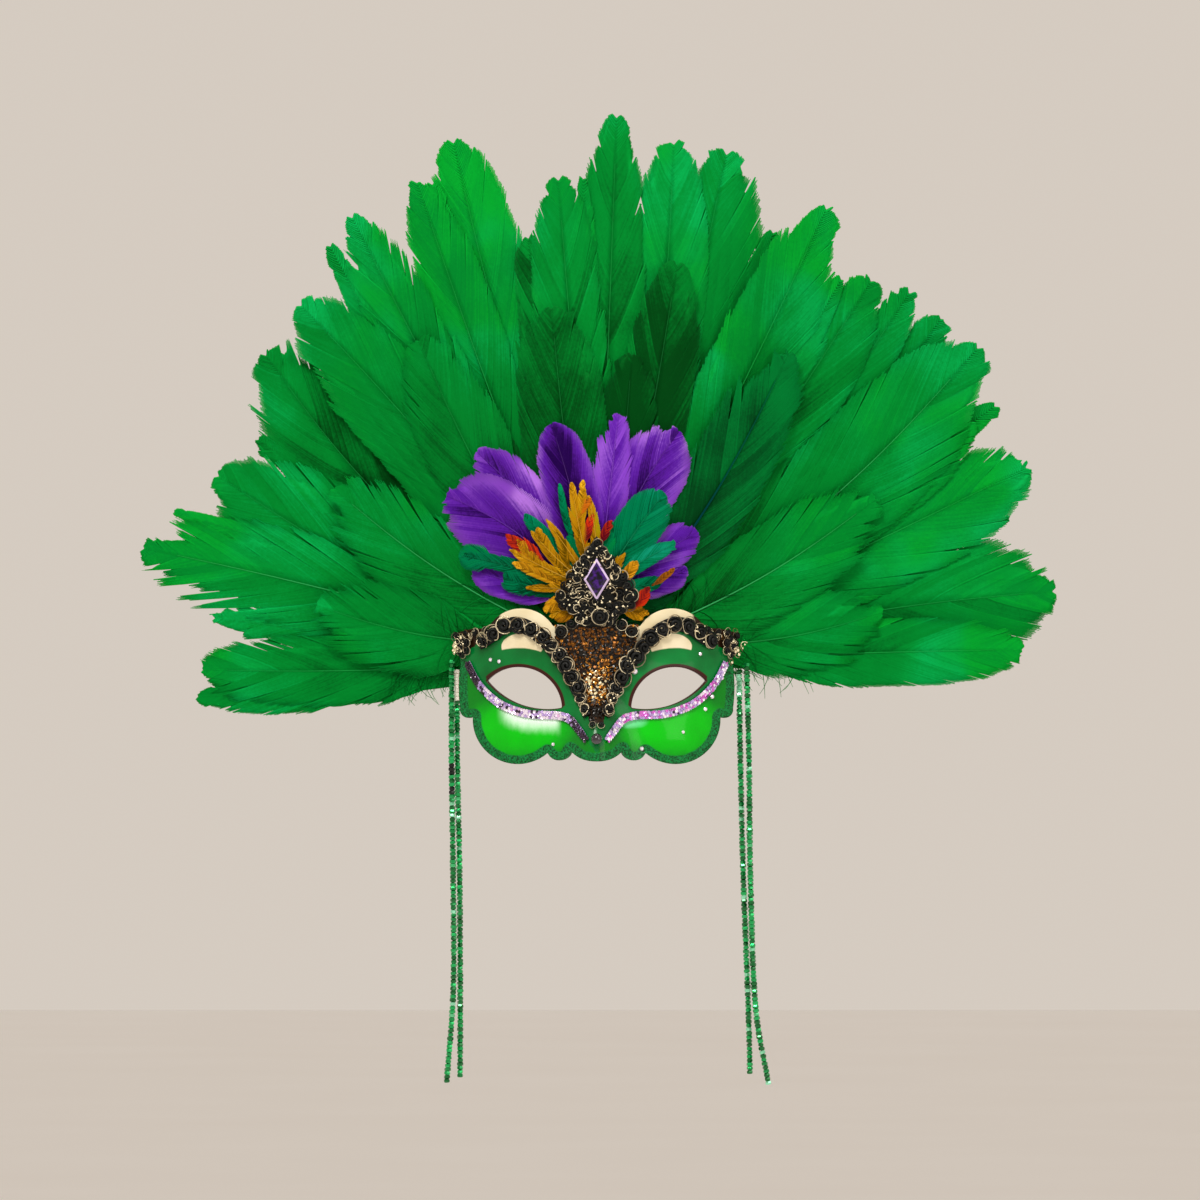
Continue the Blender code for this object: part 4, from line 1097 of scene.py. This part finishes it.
def add_knots(piece, places, normals, along, size, loose=0.0):
    """A coil and its gold ring at each place. gold marks a ring's points, and loose tilts, shifts and dulls rings."""
    normals, along = (np.broadcast_to(way, places.shape) for way in (normals, along))
    axes = axes_of(normals, along)
    shade = random.normal(0, 0.3, len(places))[:, None, None]
    piece.tubes(placed(coil(2.1, 0.86, 0.22, 0.42), places, axes, size), gold=0.0, tint=shade)
    tilt = tilted(normals, places, loose)
    shift = random.normal(0, loose, places.shape) * np.reshape(size, (-1, 1)) * 0.5
    rings = placed(ring(0.94, 0.062), places + shift, axes_of(tilt, along), size)
    dulled = spread(shade.shape, 0.0, 4.0 * loose).clip(0, 0.85)
    piece.patch(rings, ring_faces(rings.shape[:-1]), gold=1.0 - dulled, tint=shade)


def add_curls(piece, places, normals, size):
    """Short arcs of gold cord, each three quarters of a circle, set down with random tilts."""
    turn = np.linspace(0.0, 0.75 * TURN, 13)
    arc = cord(np.stack([np.cos(turn), np.sin(turn), 0.25 * np.sin(2 * turn)], axis=-1), OUTWARD, 0.1, 5)
    tilt = tilted(normals, places, 0.45)
    arcs = placed(arc, places, axes_of(tilt, any_way(places)), size)
    piece.tubes(arcs, gold=1.0, tint=random.normal(0.2, 0.4, len(places))[:, None, None])


def add_glints(piece, places, normals, size):
    """Small beads of eight sides between the knots, painted pale gold as highlights for glints."""
    shape = turned([(0.4, -0.3), (1.0, 0.2), (0.8, 0.7), (0.3, 0.95)], 8)
    beads = placed(shape, places, axes_of(normals, any_way(places)), size)
    piece.tubes(beads, gold=1.0, tint=spread(len(places), 0.3, 1.6)[:, None, None])


def on_route(line, lift):
    """Points on the mask along a line, with the outward normals and the way ahead."""
    point, normal = on_face(line[:, 0], line[:, 1], lift)
    return point, normal, np.gradient(point, axis=0)


def ribbon(line, lift, half, thick):
    """A flat band that follows a line on the mask: eight points round each section, as a rounded bar."""
    point, normal, heading = on_route(line, lift)
    axes = axes_of(normal, heading)
    turn = np.linspace(0, TURN, 8, endpoint=False)
    aside, out = half[:, None] * np.cos(turn), thick * np.sin(turn)
    return point[:, None] + axes[:, None, :, 1] * aside[..., None] + axes[:, None, :, 2] * out[..., None]


# %% Black and gold cord
cord_finish = Finish("braid_cord", 0.42, Specular_IOR_Level=0.2)
gold, tint = cord_finish.value("gold"), cord_finish.value("tint")
thread = cord_finish.noise(cord_finish.place(), 0.5, 3.0)
black = cord_finish.mix((thread * 0.7 + tint * 0.5).unit(), paint(2, 3, 3), paint(26, 28, 26))
# Gold from dull to near white; the glint beads, with the highest tints, take the near white as painted highlight.
bright = cord_finish.mix((thread + tint).unit(), paint(100, 72, 28), paint(252, 238, 200))
cord_finish.relief(thread, 0.25, 0.8)
cord_finish.done(cord_finish.mix(gold, black, bright), roughness=0.42 - gold * 0.14, metallic=gold * 0.45)

# %% The braid over each eye
SIDES = ((1, "left"), (-1, "right"))
TRIM_GAP = 0.5  # glue between the wall and its trims
BRAID_KNOTS, BRAID_HALF, BAND_THICK, KNOT_LIFT = 13, 5.6, 0.8, 1.9
CURLS, GLINTS = 16, 34
LOOSE_KNOTS = np.array([(-20.4, 31.0, 4.0), (-14.6, 36.0, 3.6), (-1.7, -25.0, 2.2)])  # x, z and radius
for side, name in SIDES:
    line = braid_line * (side, 1)
    taper = 0.60 + 0.40 * smoothstep(-20.0, 2.0, line[:, 1])
    braid = Piece()
    braid.tubes(ribbon(line, WALL + TRIM_GAP + BAND_THICK, taper * BRAID_HALF * 0.8, BAND_THICK), gold=0.0)
    pick = np.linspace(3, len(line) - 4, BRAID_KNOTS).round().astype(int)
    point, normal, heading = on_route(line, WALL + TRIM_GAP + KNOT_LIFT)
    axes = axes_of(normal, heading)
    aside = axes[..., 1] * (random.normal(0, 0.5, len(line)) * taper)[:, None]
    size = taper * BRAID_HALF * random.uniform(0.82, 1.08, len(line))
    tilt = tilted(normal, point, 0.2)
    turned_to = heading + random.normal(0, 0.8, heading.shape)
    add_knots(braid, (point + aside)[pick], tilt[pick], turned_to[pick], size[pick], 0.16)
    for start, wave in ((0.0, 1.0), (math.pi, 0.8)):
        swing = np.sin(np.arange(len(line)) / (len(line) - 1) * math.pi * BRAID_KNOTS + start)
        off_line = axes[..., 1] * (swing * taper * BRAID_HALF * 0.86 * wave)[:, None]
        over_knots = normal * (0.5 + 0.5 * np.cos(swing * 3.0))[:, None]
        braid.tubes(cord(point + off_line + over_knots, normal, 0.34, twist=1.2), gold=1.0, tint=0.15)
    some = random.integers(2, len(line) - 2, CURLS)
    add_curls(braid, (point + aside * 3.0 + normal * 0.8)[some], normal[some], spread(CURLS, 1.3, 2.4))
    place, outward = on_face(LOOSE_KNOTS[:, 0] * side, LOOSE_KNOTS[:, 1], WALL + 1.6)
    add_knots(braid, place, outward, any_way(place), LOOSE_KNOTS[:, 2], 0.2)
    some = random.integers(0, len(line), GLINTS)
    add_glints(braid, (point + aside * 5.0 + normal * 1.2)[some], normal[some], spread(GLINTS, 0.35, 0.75))
    braid.make(f"brow_braid_{name}_cord", [f"brow_braid_{name}"], cord_finish.material)

# %% The temple rosettes
ROSETTE_X, ROSETTE_Z, PETALS, PETAL_REACH, PETAL_LIFT = -76.8, 22.6, 6, 4.3, 1.4
UPPER_KNOTS = np.array([(-81.0, 29.0), (-75.4, 30.6), (-69.6, 31.0), (-63.6, 32.2)])
MIDDLE_CURLS, EDGE_CURLS = 14, 16
for side, name in SIDES:
    centre, normal = on_face(ROSETTE_X * side, ROSETTE_Z, WALL + 0.95)
    turn = np.arange(PETALS) * TURN / PETALS
    axes = axes_of(normal, np.array([0.0, 0.0, 1.0]))
    round_it = [(wave(turn) * PETAL_REACH)[:, None] * axes[:, k] for k, wave in enumerate((np.cos, np.sin))]
    petals = centre + round_it[0] + round_it[1] + normal * PETAL_LIFT
    tilt = unit_length(normal + 0.35 * (petals - centre) / PETAL_REACH)
    rosette = Piece()
    add_knots(rosette, petals, tilt, axes[:, 0], 2.9)
    add_knots(rosette, (centre + normal * 3.0)[None], normal, axes[:, 0], 3.1)
    place, outward = on_face(*(UPPER_KNOTS * (side, 1)).T, WALL + 1.2)
    add_knots(rosette, place, outward, any_way(place), spread(len(place), 2.3, 2.9), 0.3)
    curled = centre + normal * 3.4 + random.normal(0, 2.6, (MIDDLE_CURLS, 3)) * (1.0, 0.2, 1.0)
    add_curls(rosette, curled, normal, spread(MIDDLE_CURLS, 1.2, 2.2))
    add_glints(rosette, curled + normal * 0.5, normal, spread(MIDDLE_CURLS, 0.5, 1.1))
    x, z = spread(EDGE_CURLS, -81.0, -60.0) * side, spread(EDGE_CURLS, 27.0, 32.0)
    place, outward = on_face(x, z, WALL + 1.8)
    add_curls(rosette, place, outward, spread(EDGE_CURLS, 1.2, 2.0))
    rosette.make(f"temple_rosette_{name}_cord", [f"temple_rosette_{name}"], cord_finish.material)
print("triangles so far:", sum(made.values()))

# %% [markdown]
# ## The crest
# A plate of the same coils stands on the brow, leaning forward before the small feathers. It is pointed at
# the top, widest a little above its foot, and narrow there. It is built as the real one is: a stiff plate,
# large coils side by side over it, small ones and curls in the gaps, and a cut stone in the middle, in a pale
# bevelled rim. Small beads in the gaps are painted pale as highlights, for glints, and the stone's violet has
# painted reflections. One larger coil sits under the stone.

# %% The crest's plate and its coils
PLATE_FOOT, PLATE_BACK, PLATE_TILT, PLATE_CENTRE = 34.3, -2.6, 0.12, np.array([0.0, 60.0])
PLATE_CORNERS = np.array([(0, 87.5), (-25, 50.5), (-12, 39.5), (-10, 34.3), (10, 34.3), (12, 39.5), (25, 50.5)])
PLATE_NORMAL = np.array([0.0, -1.0, -PLATE_TILT]) / math.hypot(1.0, PLATE_TILT)
PLATE_THICK, GLUE = 2.0, 0.35
FORWARD = np.array([0.0, -1.0, 0.0])
FILL_KNOTS = np.array([
    (-11.5, 62), (11.5, 62), (-13.5, 54), (13.5, 54), (-7.5, 71), (7.5, 71), (-7.5, 46), (8, 46), (0, 77),
    (-12, 46.5), (12, 46.5),
])
GEM_CENTRE, GEM_HALF_WIDTH, GEM_HALF_HEIGHT = np.array([0.0, 62.0]), 7.6, 12.5


def on_plate(points, lift):
    """Points of the crest's leaning plane, at a height over its back."""
    x, z = np.moveaxis(np.asarray(points, float), -1, 0)
    return np.stack([x, PLATE_BACK - (z - PLATE_FOOT) * PLATE_TILT - lift, z], axis=-1)


def about_centre(points, scale):
    """Flat points drawn in or out about the plate's centre."""
    return (points - PLATE_CENTRE) * scale + PLATE_CENTRE


outline = bowed([(x, z, 0.6) for x, z in PLATE_CORNERS], 3.0)
crest = Piece()
rows = ((1.0, 0.0), (1.0, 1.2), (0.9, PLATE_THICK))
crest.tubes(np.array([on_plate(about_centre(outline, scale), lift) for scale, lift in rows]), gold=0.0)
rim = smooth_route(np.vstack([about_centre(PLATE_CORNERS, 0.86), [(0.0, 83.6)]]), 23)[:-1]
spots = np.vstack([rim, FILL_KNOTS])
flat_places = on_plate(spots, 0.0)
normals = tilted(PLATE_NORMAL, flat_places, 0.12)
lift = np.concatenate([np.full(len(rim), 2.2), spread(len(FILL_KNOTS), 1.9, 2.6)])
place = flat_places + FORWARD * lift[:, None]
add_knots(crest, place, normals, any_way(place), spread(len(spots), 3.0, 4.2), 0.25)
inside = spread((400, 2), -1.0, 1.0) * (25.0, 27.0) + PLATE_CENTRE
shrunk = about_centre(outline, 0.93)
clear_of_stone = np.abs(inside[:, 0]) / 7.0 + np.abs(inside[:, 1] - GEM_CENTRE[1]) / 12.0 > 1.0
inside = inside[clear_of_stone & (distance_to(*inside.T, np.vstack([shrunk, shrunk[:1]]))[1] > 0)]
small, curls, glints = inside[:44], inside[44:80], inside[100:190]
place = on_plate(small, 2.6) + FORWARD * spread(len(small), 0.0, 0.9)[:, None]
leaning = PLATE_NORMAL + random.normal(0, 0.2, place.shape)  # not made a unit long, so that heights vary too
add_knots(crest, place, leaning, any_way(place), spread(len(small), 1.6, 2.6), 0.3)
place = on_plate(curls, 3.4) + FORWARD * spread(len(curls), 0.0, 1.0)[:, None]
add_curls(crest, place, PLATE_NORMAL, spread(len(curls), 1.2, 2.8))
add_glints(crest, on_plate(glints, 3.9), PLATE_NORMAL, spread(len(glints), 0.3, 0.8))
crest.make("crest_plate_cord", ["crest_plate"], cord_finish.material)

# %% The round knot under the stone
KNOT_CENTRE, KNOT_HEIGHT, KNOT_RADIUS = (2.0, 40.2), 3.6 + GLUE + 1.6, 5.2
ACROSS = np.array([1.0, 0.0, 0.0])
knot = Piece()
add_knots(knot, on_plate([KNOT_CENTRE], KNOT_HEIGHT), PLATE_NORMAL, ACROSS, KNOT_RADIUS)
knot.make("crest_knot_cord", ["crest_knot"], cord_finish.material)

# %% The stone
gem_finish = Finish("cut_stone", 0.06, Coat_Weight=0.2, Coat_Roughness=0.02, Specular_IOR_Level=0.25)
rim_share, facet_reflections = gem_finish.value("rim"), gem_finish.noise(gem_finish.place(), 2.6)
# The heart's patches of dark and lighter violet are painted reflections of its facets.
heart = gem_finish.mix((facet_reflections * 3.0 - 1.3).unit(), paint(4, 0, 14), paint(78, 28, 140))
gem_finish.done(gem_finish.mix(rim_share, heart, paint(222, 200, 240)), roughness=0.06 + rim_share * 0.12)
STONE_ROWS = (  # scale, height over the plate, and how much is rim
    (0.9, 0.0, 0.3), (1.0, 0.5, 1.0), (1.0, 1.5, 1.0), (0.84, 2.6, 1.0),
    (0.80, 2.6, 0.0), (0.56, 3.9, 0.0), (0.2, 4.2, 0.0),
)
outline = lozenge(GEM_HALF_WIDTH, GEM_HALF_HEIGHT, 5)
foot = PLATE_THICK + GLUE
gem = Piece()
rings = np.array([on_plate(outline * scale + GEM_CENTRE, foot + lift) for scale, lift, _ in STONE_ROWS])
gem.tubes(rings, rim=np.array([row[2] for row in STONE_ROWS])[:, None])
gem.make("crest_gem_cut", ["crest_gem"], gem_finish.material, smooth=False)

# %% [markdown]
# ## Glitter
# Under the crest a lozenge of chunky glitter sparkles amber and gold, and darkens down the nose. Real glitter
# is shaken over wet glue. Speckled paint alone wouldn't sparkle from every side, so each flake is a small
# five-sided plate, tilted at random, and no two catch the lamp alike.

# %% Glitter on its lozenge and down the nose
flake_finish = Finish("glitter_flakes", 0.22)
tint = flake_finish.value("tint")
colour = flake_finish.mix(tint.step(0.42, 0.5), paint(16, 11, 5), paint(122, 72, 12))
colour = flake_finish.mix(tint.step(0.68, 0.76), colour, paint(224, 150, 48))
colour = flake_finish.mix(tint.step(0.86, 0.9), colour, paint(252, 236, 190))
flake_finish.done(colour, metallic=0.3 + tint.step(0.3, 0.7) * 0.4)
PANEL_HALF_WIDTH, PANEL_HALF_HEIGHT, PANEL_CENTRE = 14.5, 13.0, np.array([1.5, 20.5])
PANEL_ROWS = ((0.1, 0.0), (1.0, 0.0), (1.0, 0.6), (0.6, 0.9), (0.1, 0.9))  # scale, and height over the glue
panel = Piece()
outline = lozenge(PANEL_HALF_WIDTH, PANEL_HALF_HEIGHT, 8)
rings = [on_face(*(outline * scale + PANEL_CENTRE).T, WALL + GLUE + lift)[0] for scale, lift in PANEL_ROWS]
panel.tubes(np.array(rings), tint=0.1)


def add_flakes(piece, points, lift, size):
    """Five-sided flakes, tilted at random. The brightest lie in the middle, and the darkest low down."""
    place, normal = on_face(points[:, 0], points[:, 1], lift + spread(len(points), 0.0, 0.8))
    normal = tilted(normal, place, 0.35)
    axes = axes_of(normal, any_way(place))
    flakes = placed(turned([(0.8, 0.0), (1.0, 0.18), (0.7, 0.34)], 5), place, axes, size)
    middle = smoothstep(8.0, 2.0, np.abs(points[:, 0])) * smoothstep(12.0, 4.0, points[:, 1]) * 0.3
    low, high = smoothstep(-15.0, -8.0, points[:, 1]), smoothstep(2.0, 20.0, points[:, 1])
    shade = spread(len(points)) * (0.45 + 0.55 * low - 0.26 * high) + middle * (points[:, 1] > -13.0)
    piece.tubes(flakes, tint=shade[:, None, None])


spots = spread((900, 2), -1.0, 1.0)
spots = spots[np.abs(spots).sum(axis=1) < 0.97][:420] * (PANEL_HALF_WIDTH, PANEL_HALF_HEIGHT) + PANEL_CENTRE
add_flakes(panel, spots, WALL + GLUE + 0.8, spread(len(spots), 0.6, 1.15))
bridge = spread((2600, 2), -1.0, 1.0) * (24.0, 28.5) + (0.0, 6.5)
away, above = distance_to(-np.abs(bridge[:, 0]), bridge[:, 1], braid_line)
bridge = bridge[(above > 0) & (away > 1.5)]
add_flakes(panel, bridge, WALL + 0.15, spread(len(bridge), 0.6, 1.15))
print("flakes:", len(spots) + len(bridge))
panel.make("glitter_lozenge_flakes", ["glitter_lozenge"], flake_finish.material, smooth=False)

# %% [markdown]
# ## Sequins, studs and the bead
# The trim under each eye is a narrow tape with three rows of small cups sewn on, each lapping over the next.
# It could be one strip with a pattern. Here the cups are set along the tape one by one, because each then
# flashes by itself. One random number takes their colour from plum through lilac to pink. A few silver studs
# stand on the paint, and a polished black bead closes the braid at the nose.

# %% Iridescent sequins under each eye
sequin_finish = Finish("iridescent_sequins", 0.18, Coat_Weight=0.6)
tint = sequin_finish.value("tint")
colour = sequin_finish.mix(tint.step(0.08, 0.14), paint(40, 12, 44), paint(188, 160, 220))
colour = sequin_finish.mix(tint.step(0.4, 0.5), colour, paint(244, 232, 248))
colour = sequin_finish.mix(tint.step(0.74, 0.84), colour, paint(208, 96, 200))
sequin_finish.done(colour, metallic=0.45)
STUDS = {  # silver studs on the paint: x, z, radius
    "left": [(-61.5, 15.0, 1.2), (-56.5, 14.0, 1.2), (-25.0, -35.0, 1.1)],
    "right": [
        (60.0, 18.5, 1.2), (22.0, 8.0, 1.9), (67.0, -7.0, 1.4), (63.0, -14.5, 1.3), (50.0, -28.0, 1.1),
        (26.0, -37.5, 1.3), (73.0, 4.0, 1.1),
    ],
}
TRIM_HALF, TRIM_THICK, CUPS, CUP_RADIUS, ROW_GAP = 2.3, 0.35, 60, 1.05, 1.55
cup = turned([(0.25, 0.0), (0.95, 0.3), (1.0, 0.42), (0.9, 0.42), (0.3, 0.16)], 6)
dome = turned([(1.0, 0.0), (0.92, 0.4), (0.6, 0.75), (0.2, 0.9)], 8)
for side, name in SIDES:
    line = trim_line * (side, 1)
    narrow = 0.62 + 0.38 * smoothstep(-37.0, -27.0, line[:, 1])
    trim = Piece()
    trim.tubes(ribbon(line, WALL + TRIM_GAP + TRIM_THICK, narrow * TRIM_HALF, TRIM_THICK), tint=0.2)
    at = np.linspace(0, len(line) - 1, CUPS)
    point, normal, heading = on_route(between_rows(line, at), WALL + TRIM_GAP + 0.55)
    axes = axes_of(normal, heading)
    for row in (-1, 0, 1):
        aside = row * ROW_GAP * between_rows(narrow, at)
        place = point + axes[..., 1] * aside[:, None] + heading * 0.5 * (row % 2) + normal * 0.25 * (row == 0)
        tilt = tilted(normal, place, 0.22)
        cups = placed(cup, place, axes_of(tilt, heading), CUP_RADIUS)
        shade = spread(len(place), 0.0, 0.8) if side > 0 else spread(len(place), 0.08, 1.05)
        if side > 0:
            shade *= smoothstep(-73.0, -62.0, place[:, 0]) * smoothstep(-12.0, -20.0, place[:, 0])
        trim.tubes(cups, tint=shade[:, None, None])
    studs = np.array(STUDS[name])
    place, outward = on_face(studs[:, 0], studs[:, 1], WALL + 0.1)
    trim.tubes(placed(dome, place, axes_of(outward, outward + 1.0), studs[:, 2]), tint=0.6)
    trim.make(f"sequin_trim_{name}_cups", [f"sequin_trim_{name}"], sequin_finish.material, smooth=False)

# %% The black bead at the tip of the nose
jet = Finish("black_bead", 0.12, Coat_Weight=1.0)
cloud = jet.noise(jet.place(), 2.0)
jet.done(jet.mix(cloud, paint(8, 6, 10), paint(40, 28, 40)), roughness=0.1 + cloud * 0.1)
BEAD_Z, BALL_RADIUS = -33.4, 3.4
angle = np.radians(np.linspace(-84, 84, 11))
ball = turned(list(zip(BALL_RADIUS * np.cos(angle), BALL_RADIUS * (1 + np.sin(angle)))), 18)
place, normal = on_face(0.0, BEAD_Z, WALL + GLUE)
bead = Piece()
bead.tubes(placed(ball, place[None], axes_of(normal, ACROSS)[None]))
bead.make("nose_bead_polished", ["nose_bead"], jet.material)

# %% [markdown]
# ## Strings of beads
# A bead string is a thread with small beads packed along it, and it hangs almost straight from the temple. A
# tube with rings would look like a hose. So a thread is laid along each route, and one six-sided bead is set
# down at even steps on it, each a little different in size and lean. Every string is made in two stretches, an
# upper and a lower one, as its solids are.

# %% The strings of green beads
STRANDS = (
    ("left_outer", 38.5, ((-86.0, 15.0), (-86.0, -50.0), (-85.2, -110.0), (-85.0, -180.0), (-89.0, -236.0))),
    ("left_inner", 42.5, ((-83.0, 9.0), (-82.6, -50.0), (-81.4, -110.0), (-81.0, -180.0), (-81.0, -233.0))),
    ("right_inner", 42.5, ((84.5, 9.0), (85.5, -50.0), (87.0, -112.0), (90.0, -190.0), (91.0, -231.0))),
    ("right_outer", 38.5, ((89.0, 13.0), (90.5, -50.0), (91.2, -112.0), (94.2, -190.0), (102.0, -237.0))),
)
DARK, PALE, CREAM = -0.8, 1.0, 2.0  # tints beyond the usual 0 to 0.93
bead_finish = Finish("green_beads", 0.16, Coat_Weight=0.5)
tint = bead_finish.value("tint")
colour = bead_finish.mix(tint.step(0.1, 0.9), paint(0, 104, 44), paint(20, 178, 92))
colour = bead_finish.mix(tint.step(0.93, 0.96), colour, paint(150, 230, 190))
colour = bead_finish.mix(tint.step(-0.4, -0.6), colour, paint(14, 26, 20))
cream = tint.step(1.4, 1.6)
bead_finish.done(bead_finish.mix(cream, colour, paint(252, 246, 234)), metallic=0.7 - cream * 0.7)
BEAD_STEP, BEAD_RADIUS, ROUTE_ROWS = 2.3, 1.95, 400
bead_shape = turned([(0.45, -0.62), (0.86, -0.5), (1.0, 0.0), (0.86, 0.5), (0.45, 0.62)], 6)
for name, depth, route in STRANDS:
    whole = smooth_route(route, ROUTE_ROWS)
    length = float(np.linalg.norm(np.diff(whole, axis=0), axis=1).sum())
    beads = 2 * round(length / BEAD_STEP / 2)
    for part, first in (("upper", 0), ("lower", beads // 2)):
        at = (np.arange(first, first + beads // 2) + 0.5) / beads * (ROUTE_ROWS - 1)
        x, z = between_rows(whole, at).T
        point = np.stack([x, np.full(len(at), depth), z], axis=1)
        string = Piece()
        string.tubes(cord(point, FORWARD, 0.4, 5), tint=0.1)
        tilt = tilted(unit_length(np.gradient(point, axis=0)), point, 0.12)
        axes = axes_of(tilt, any_way(point))
        shapes = placed(bead_shape, point, axes, BEAD_RADIUS * spread(len(point), 0.92, 1.05))
        shade = spread(len(point))
        if name == "left_outer":  # two short dark stretches
            shade = np.where((np.abs(z + 50.0) < 4.0) | (np.abs(z + 63.0) < 2.5), DARK, shade)
        if name == "left_inner":  # cream ones at the top
            shade = np.where(z > -9.0, CREAM, shade)
        if name == "right_inner":  # most of the first ones are pale
            shade = np.where((z > -8.0) & (shade > 0.3), PALE, shade)
        string.tubes(shapes, tint=shade[:, None, None])
        nodes = [f"strand_{name}_{part}"]
        string.make(nodes[0] + "_beads", nodes, bead_finish.material, smooth=False)
print("triangles so far:", sum(made.values()))

# %% [markdown]
# ## Floor, light and camera
# The mask is worn, so it hangs at head height. The floor is far below and pale, and three large soft lamps
# stand round it, as in a shop's studio. A long lens, nearly level, keeps the fan's shape true.

# %% Floor
FLOOR_HALF, FLOOR_Z = 40.0, -1.6  # in metres, as all that stands round the mask
corners = [(x * FLOOR_HALF, y * FLOOR_HALF, FLOOR_Z) for x, y in ((-1, -1), (1, -1), (1, 1), (-1, 1))]
floor_mesh = bpy.data.meshes.new("floor")
floor_mesh.from_pydata(corners, [], [(0, 1, 2, 3)])
floor = bpy.data.objects.new("floor", floor_mesh)
bpy.context.collection.objects.link(floor)
floor_finish = Finish("floor_paint", 0.8)
floor_cloud = floor_finish.noise(floor_finish.place(), 900.0)
floor_colour = floor_finish.mix(floor_cloud, paint(250, 248, 246), paint(246, 243, 240))
floor_mesh.materials.append(floor_finish.done(floor_colour))

# %% Lamps
WARM_WHITE = (1.0, 0.97, 0.93)


def soft_lamp(name, place, aim, size, power):
    """A square area lamp that faces a point."""
    data = bpy.data.lights.new(name, "AREA")
    data.shape, data.size, data.energy, data.color = "SQUARE", size, power, WARM_WHITE
    lamp = bpy.data.objects.new(name, data)
    lamp.location = place
    lamp.rotation_euler = (Vector(aim) - Vector(place)).to_track_quat("-Z", "Y").to_euler()
    bpy.context.collection.objects.link(lamp)


soft_lamp("key_lamp", (-0.6, -2.1, 2.0), (0, 0, 0.05), 0.9, 60)
soft_lamp("fill_lamp", (2.2, -2.0, 0.4), (0, 0, 0.05), 1.8, 18)
soft_lamp("top_lamp", (0.3, 0.6, 2.4), (0, 0, 0.1), 1.4, 22)

# %% Room and camera
world = bpy.data.worlds.new("room")
world.use_nodes = True
bpy.context.scene.world = world
background = world.node_tree.nodes["Background"]
background.inputs["Color"].default_value = paint(219, 209, 198)
background.inputs["Strength"].default_value = 0.94
bpy.context.scene.view_settings.view_transform = "Standard"

CAMERA_DISTANCE, CAMERA_BELOW, LENS = 5.5, 0.5, 280.0
aim = Vector((0.002, 0.0, 0.05))
below = math.radians(CAMERA_BELOW)
back = Vector((0.0, -math.cos(below), -math.sin(below)))
camera_data = bpy.data.cameras.new("camera")
camera_data.lens, camera_data.sensor_width, camera_data.clip_end = LENS, 36.0, 150.0
camera = bpy.data.objects.new("camera", camera_data)
camera.location = aim + back * CAMERA_DISTANCE
camera.rotation_euler = (-back).to_track_quat("-Z", "Y").to_euler()
bpy.context.collection.objects.link(camera)
bpy.context.scene.camera = camera

# %% Sizes, and the end
print("triangles, with the mask as half a sheet:", sum(made.values()), "in", len(made), "pieces")
for name, count in sorted(made.items(), key=lambda pair: -pair[1])[:5]:
    print("  ", name, count)
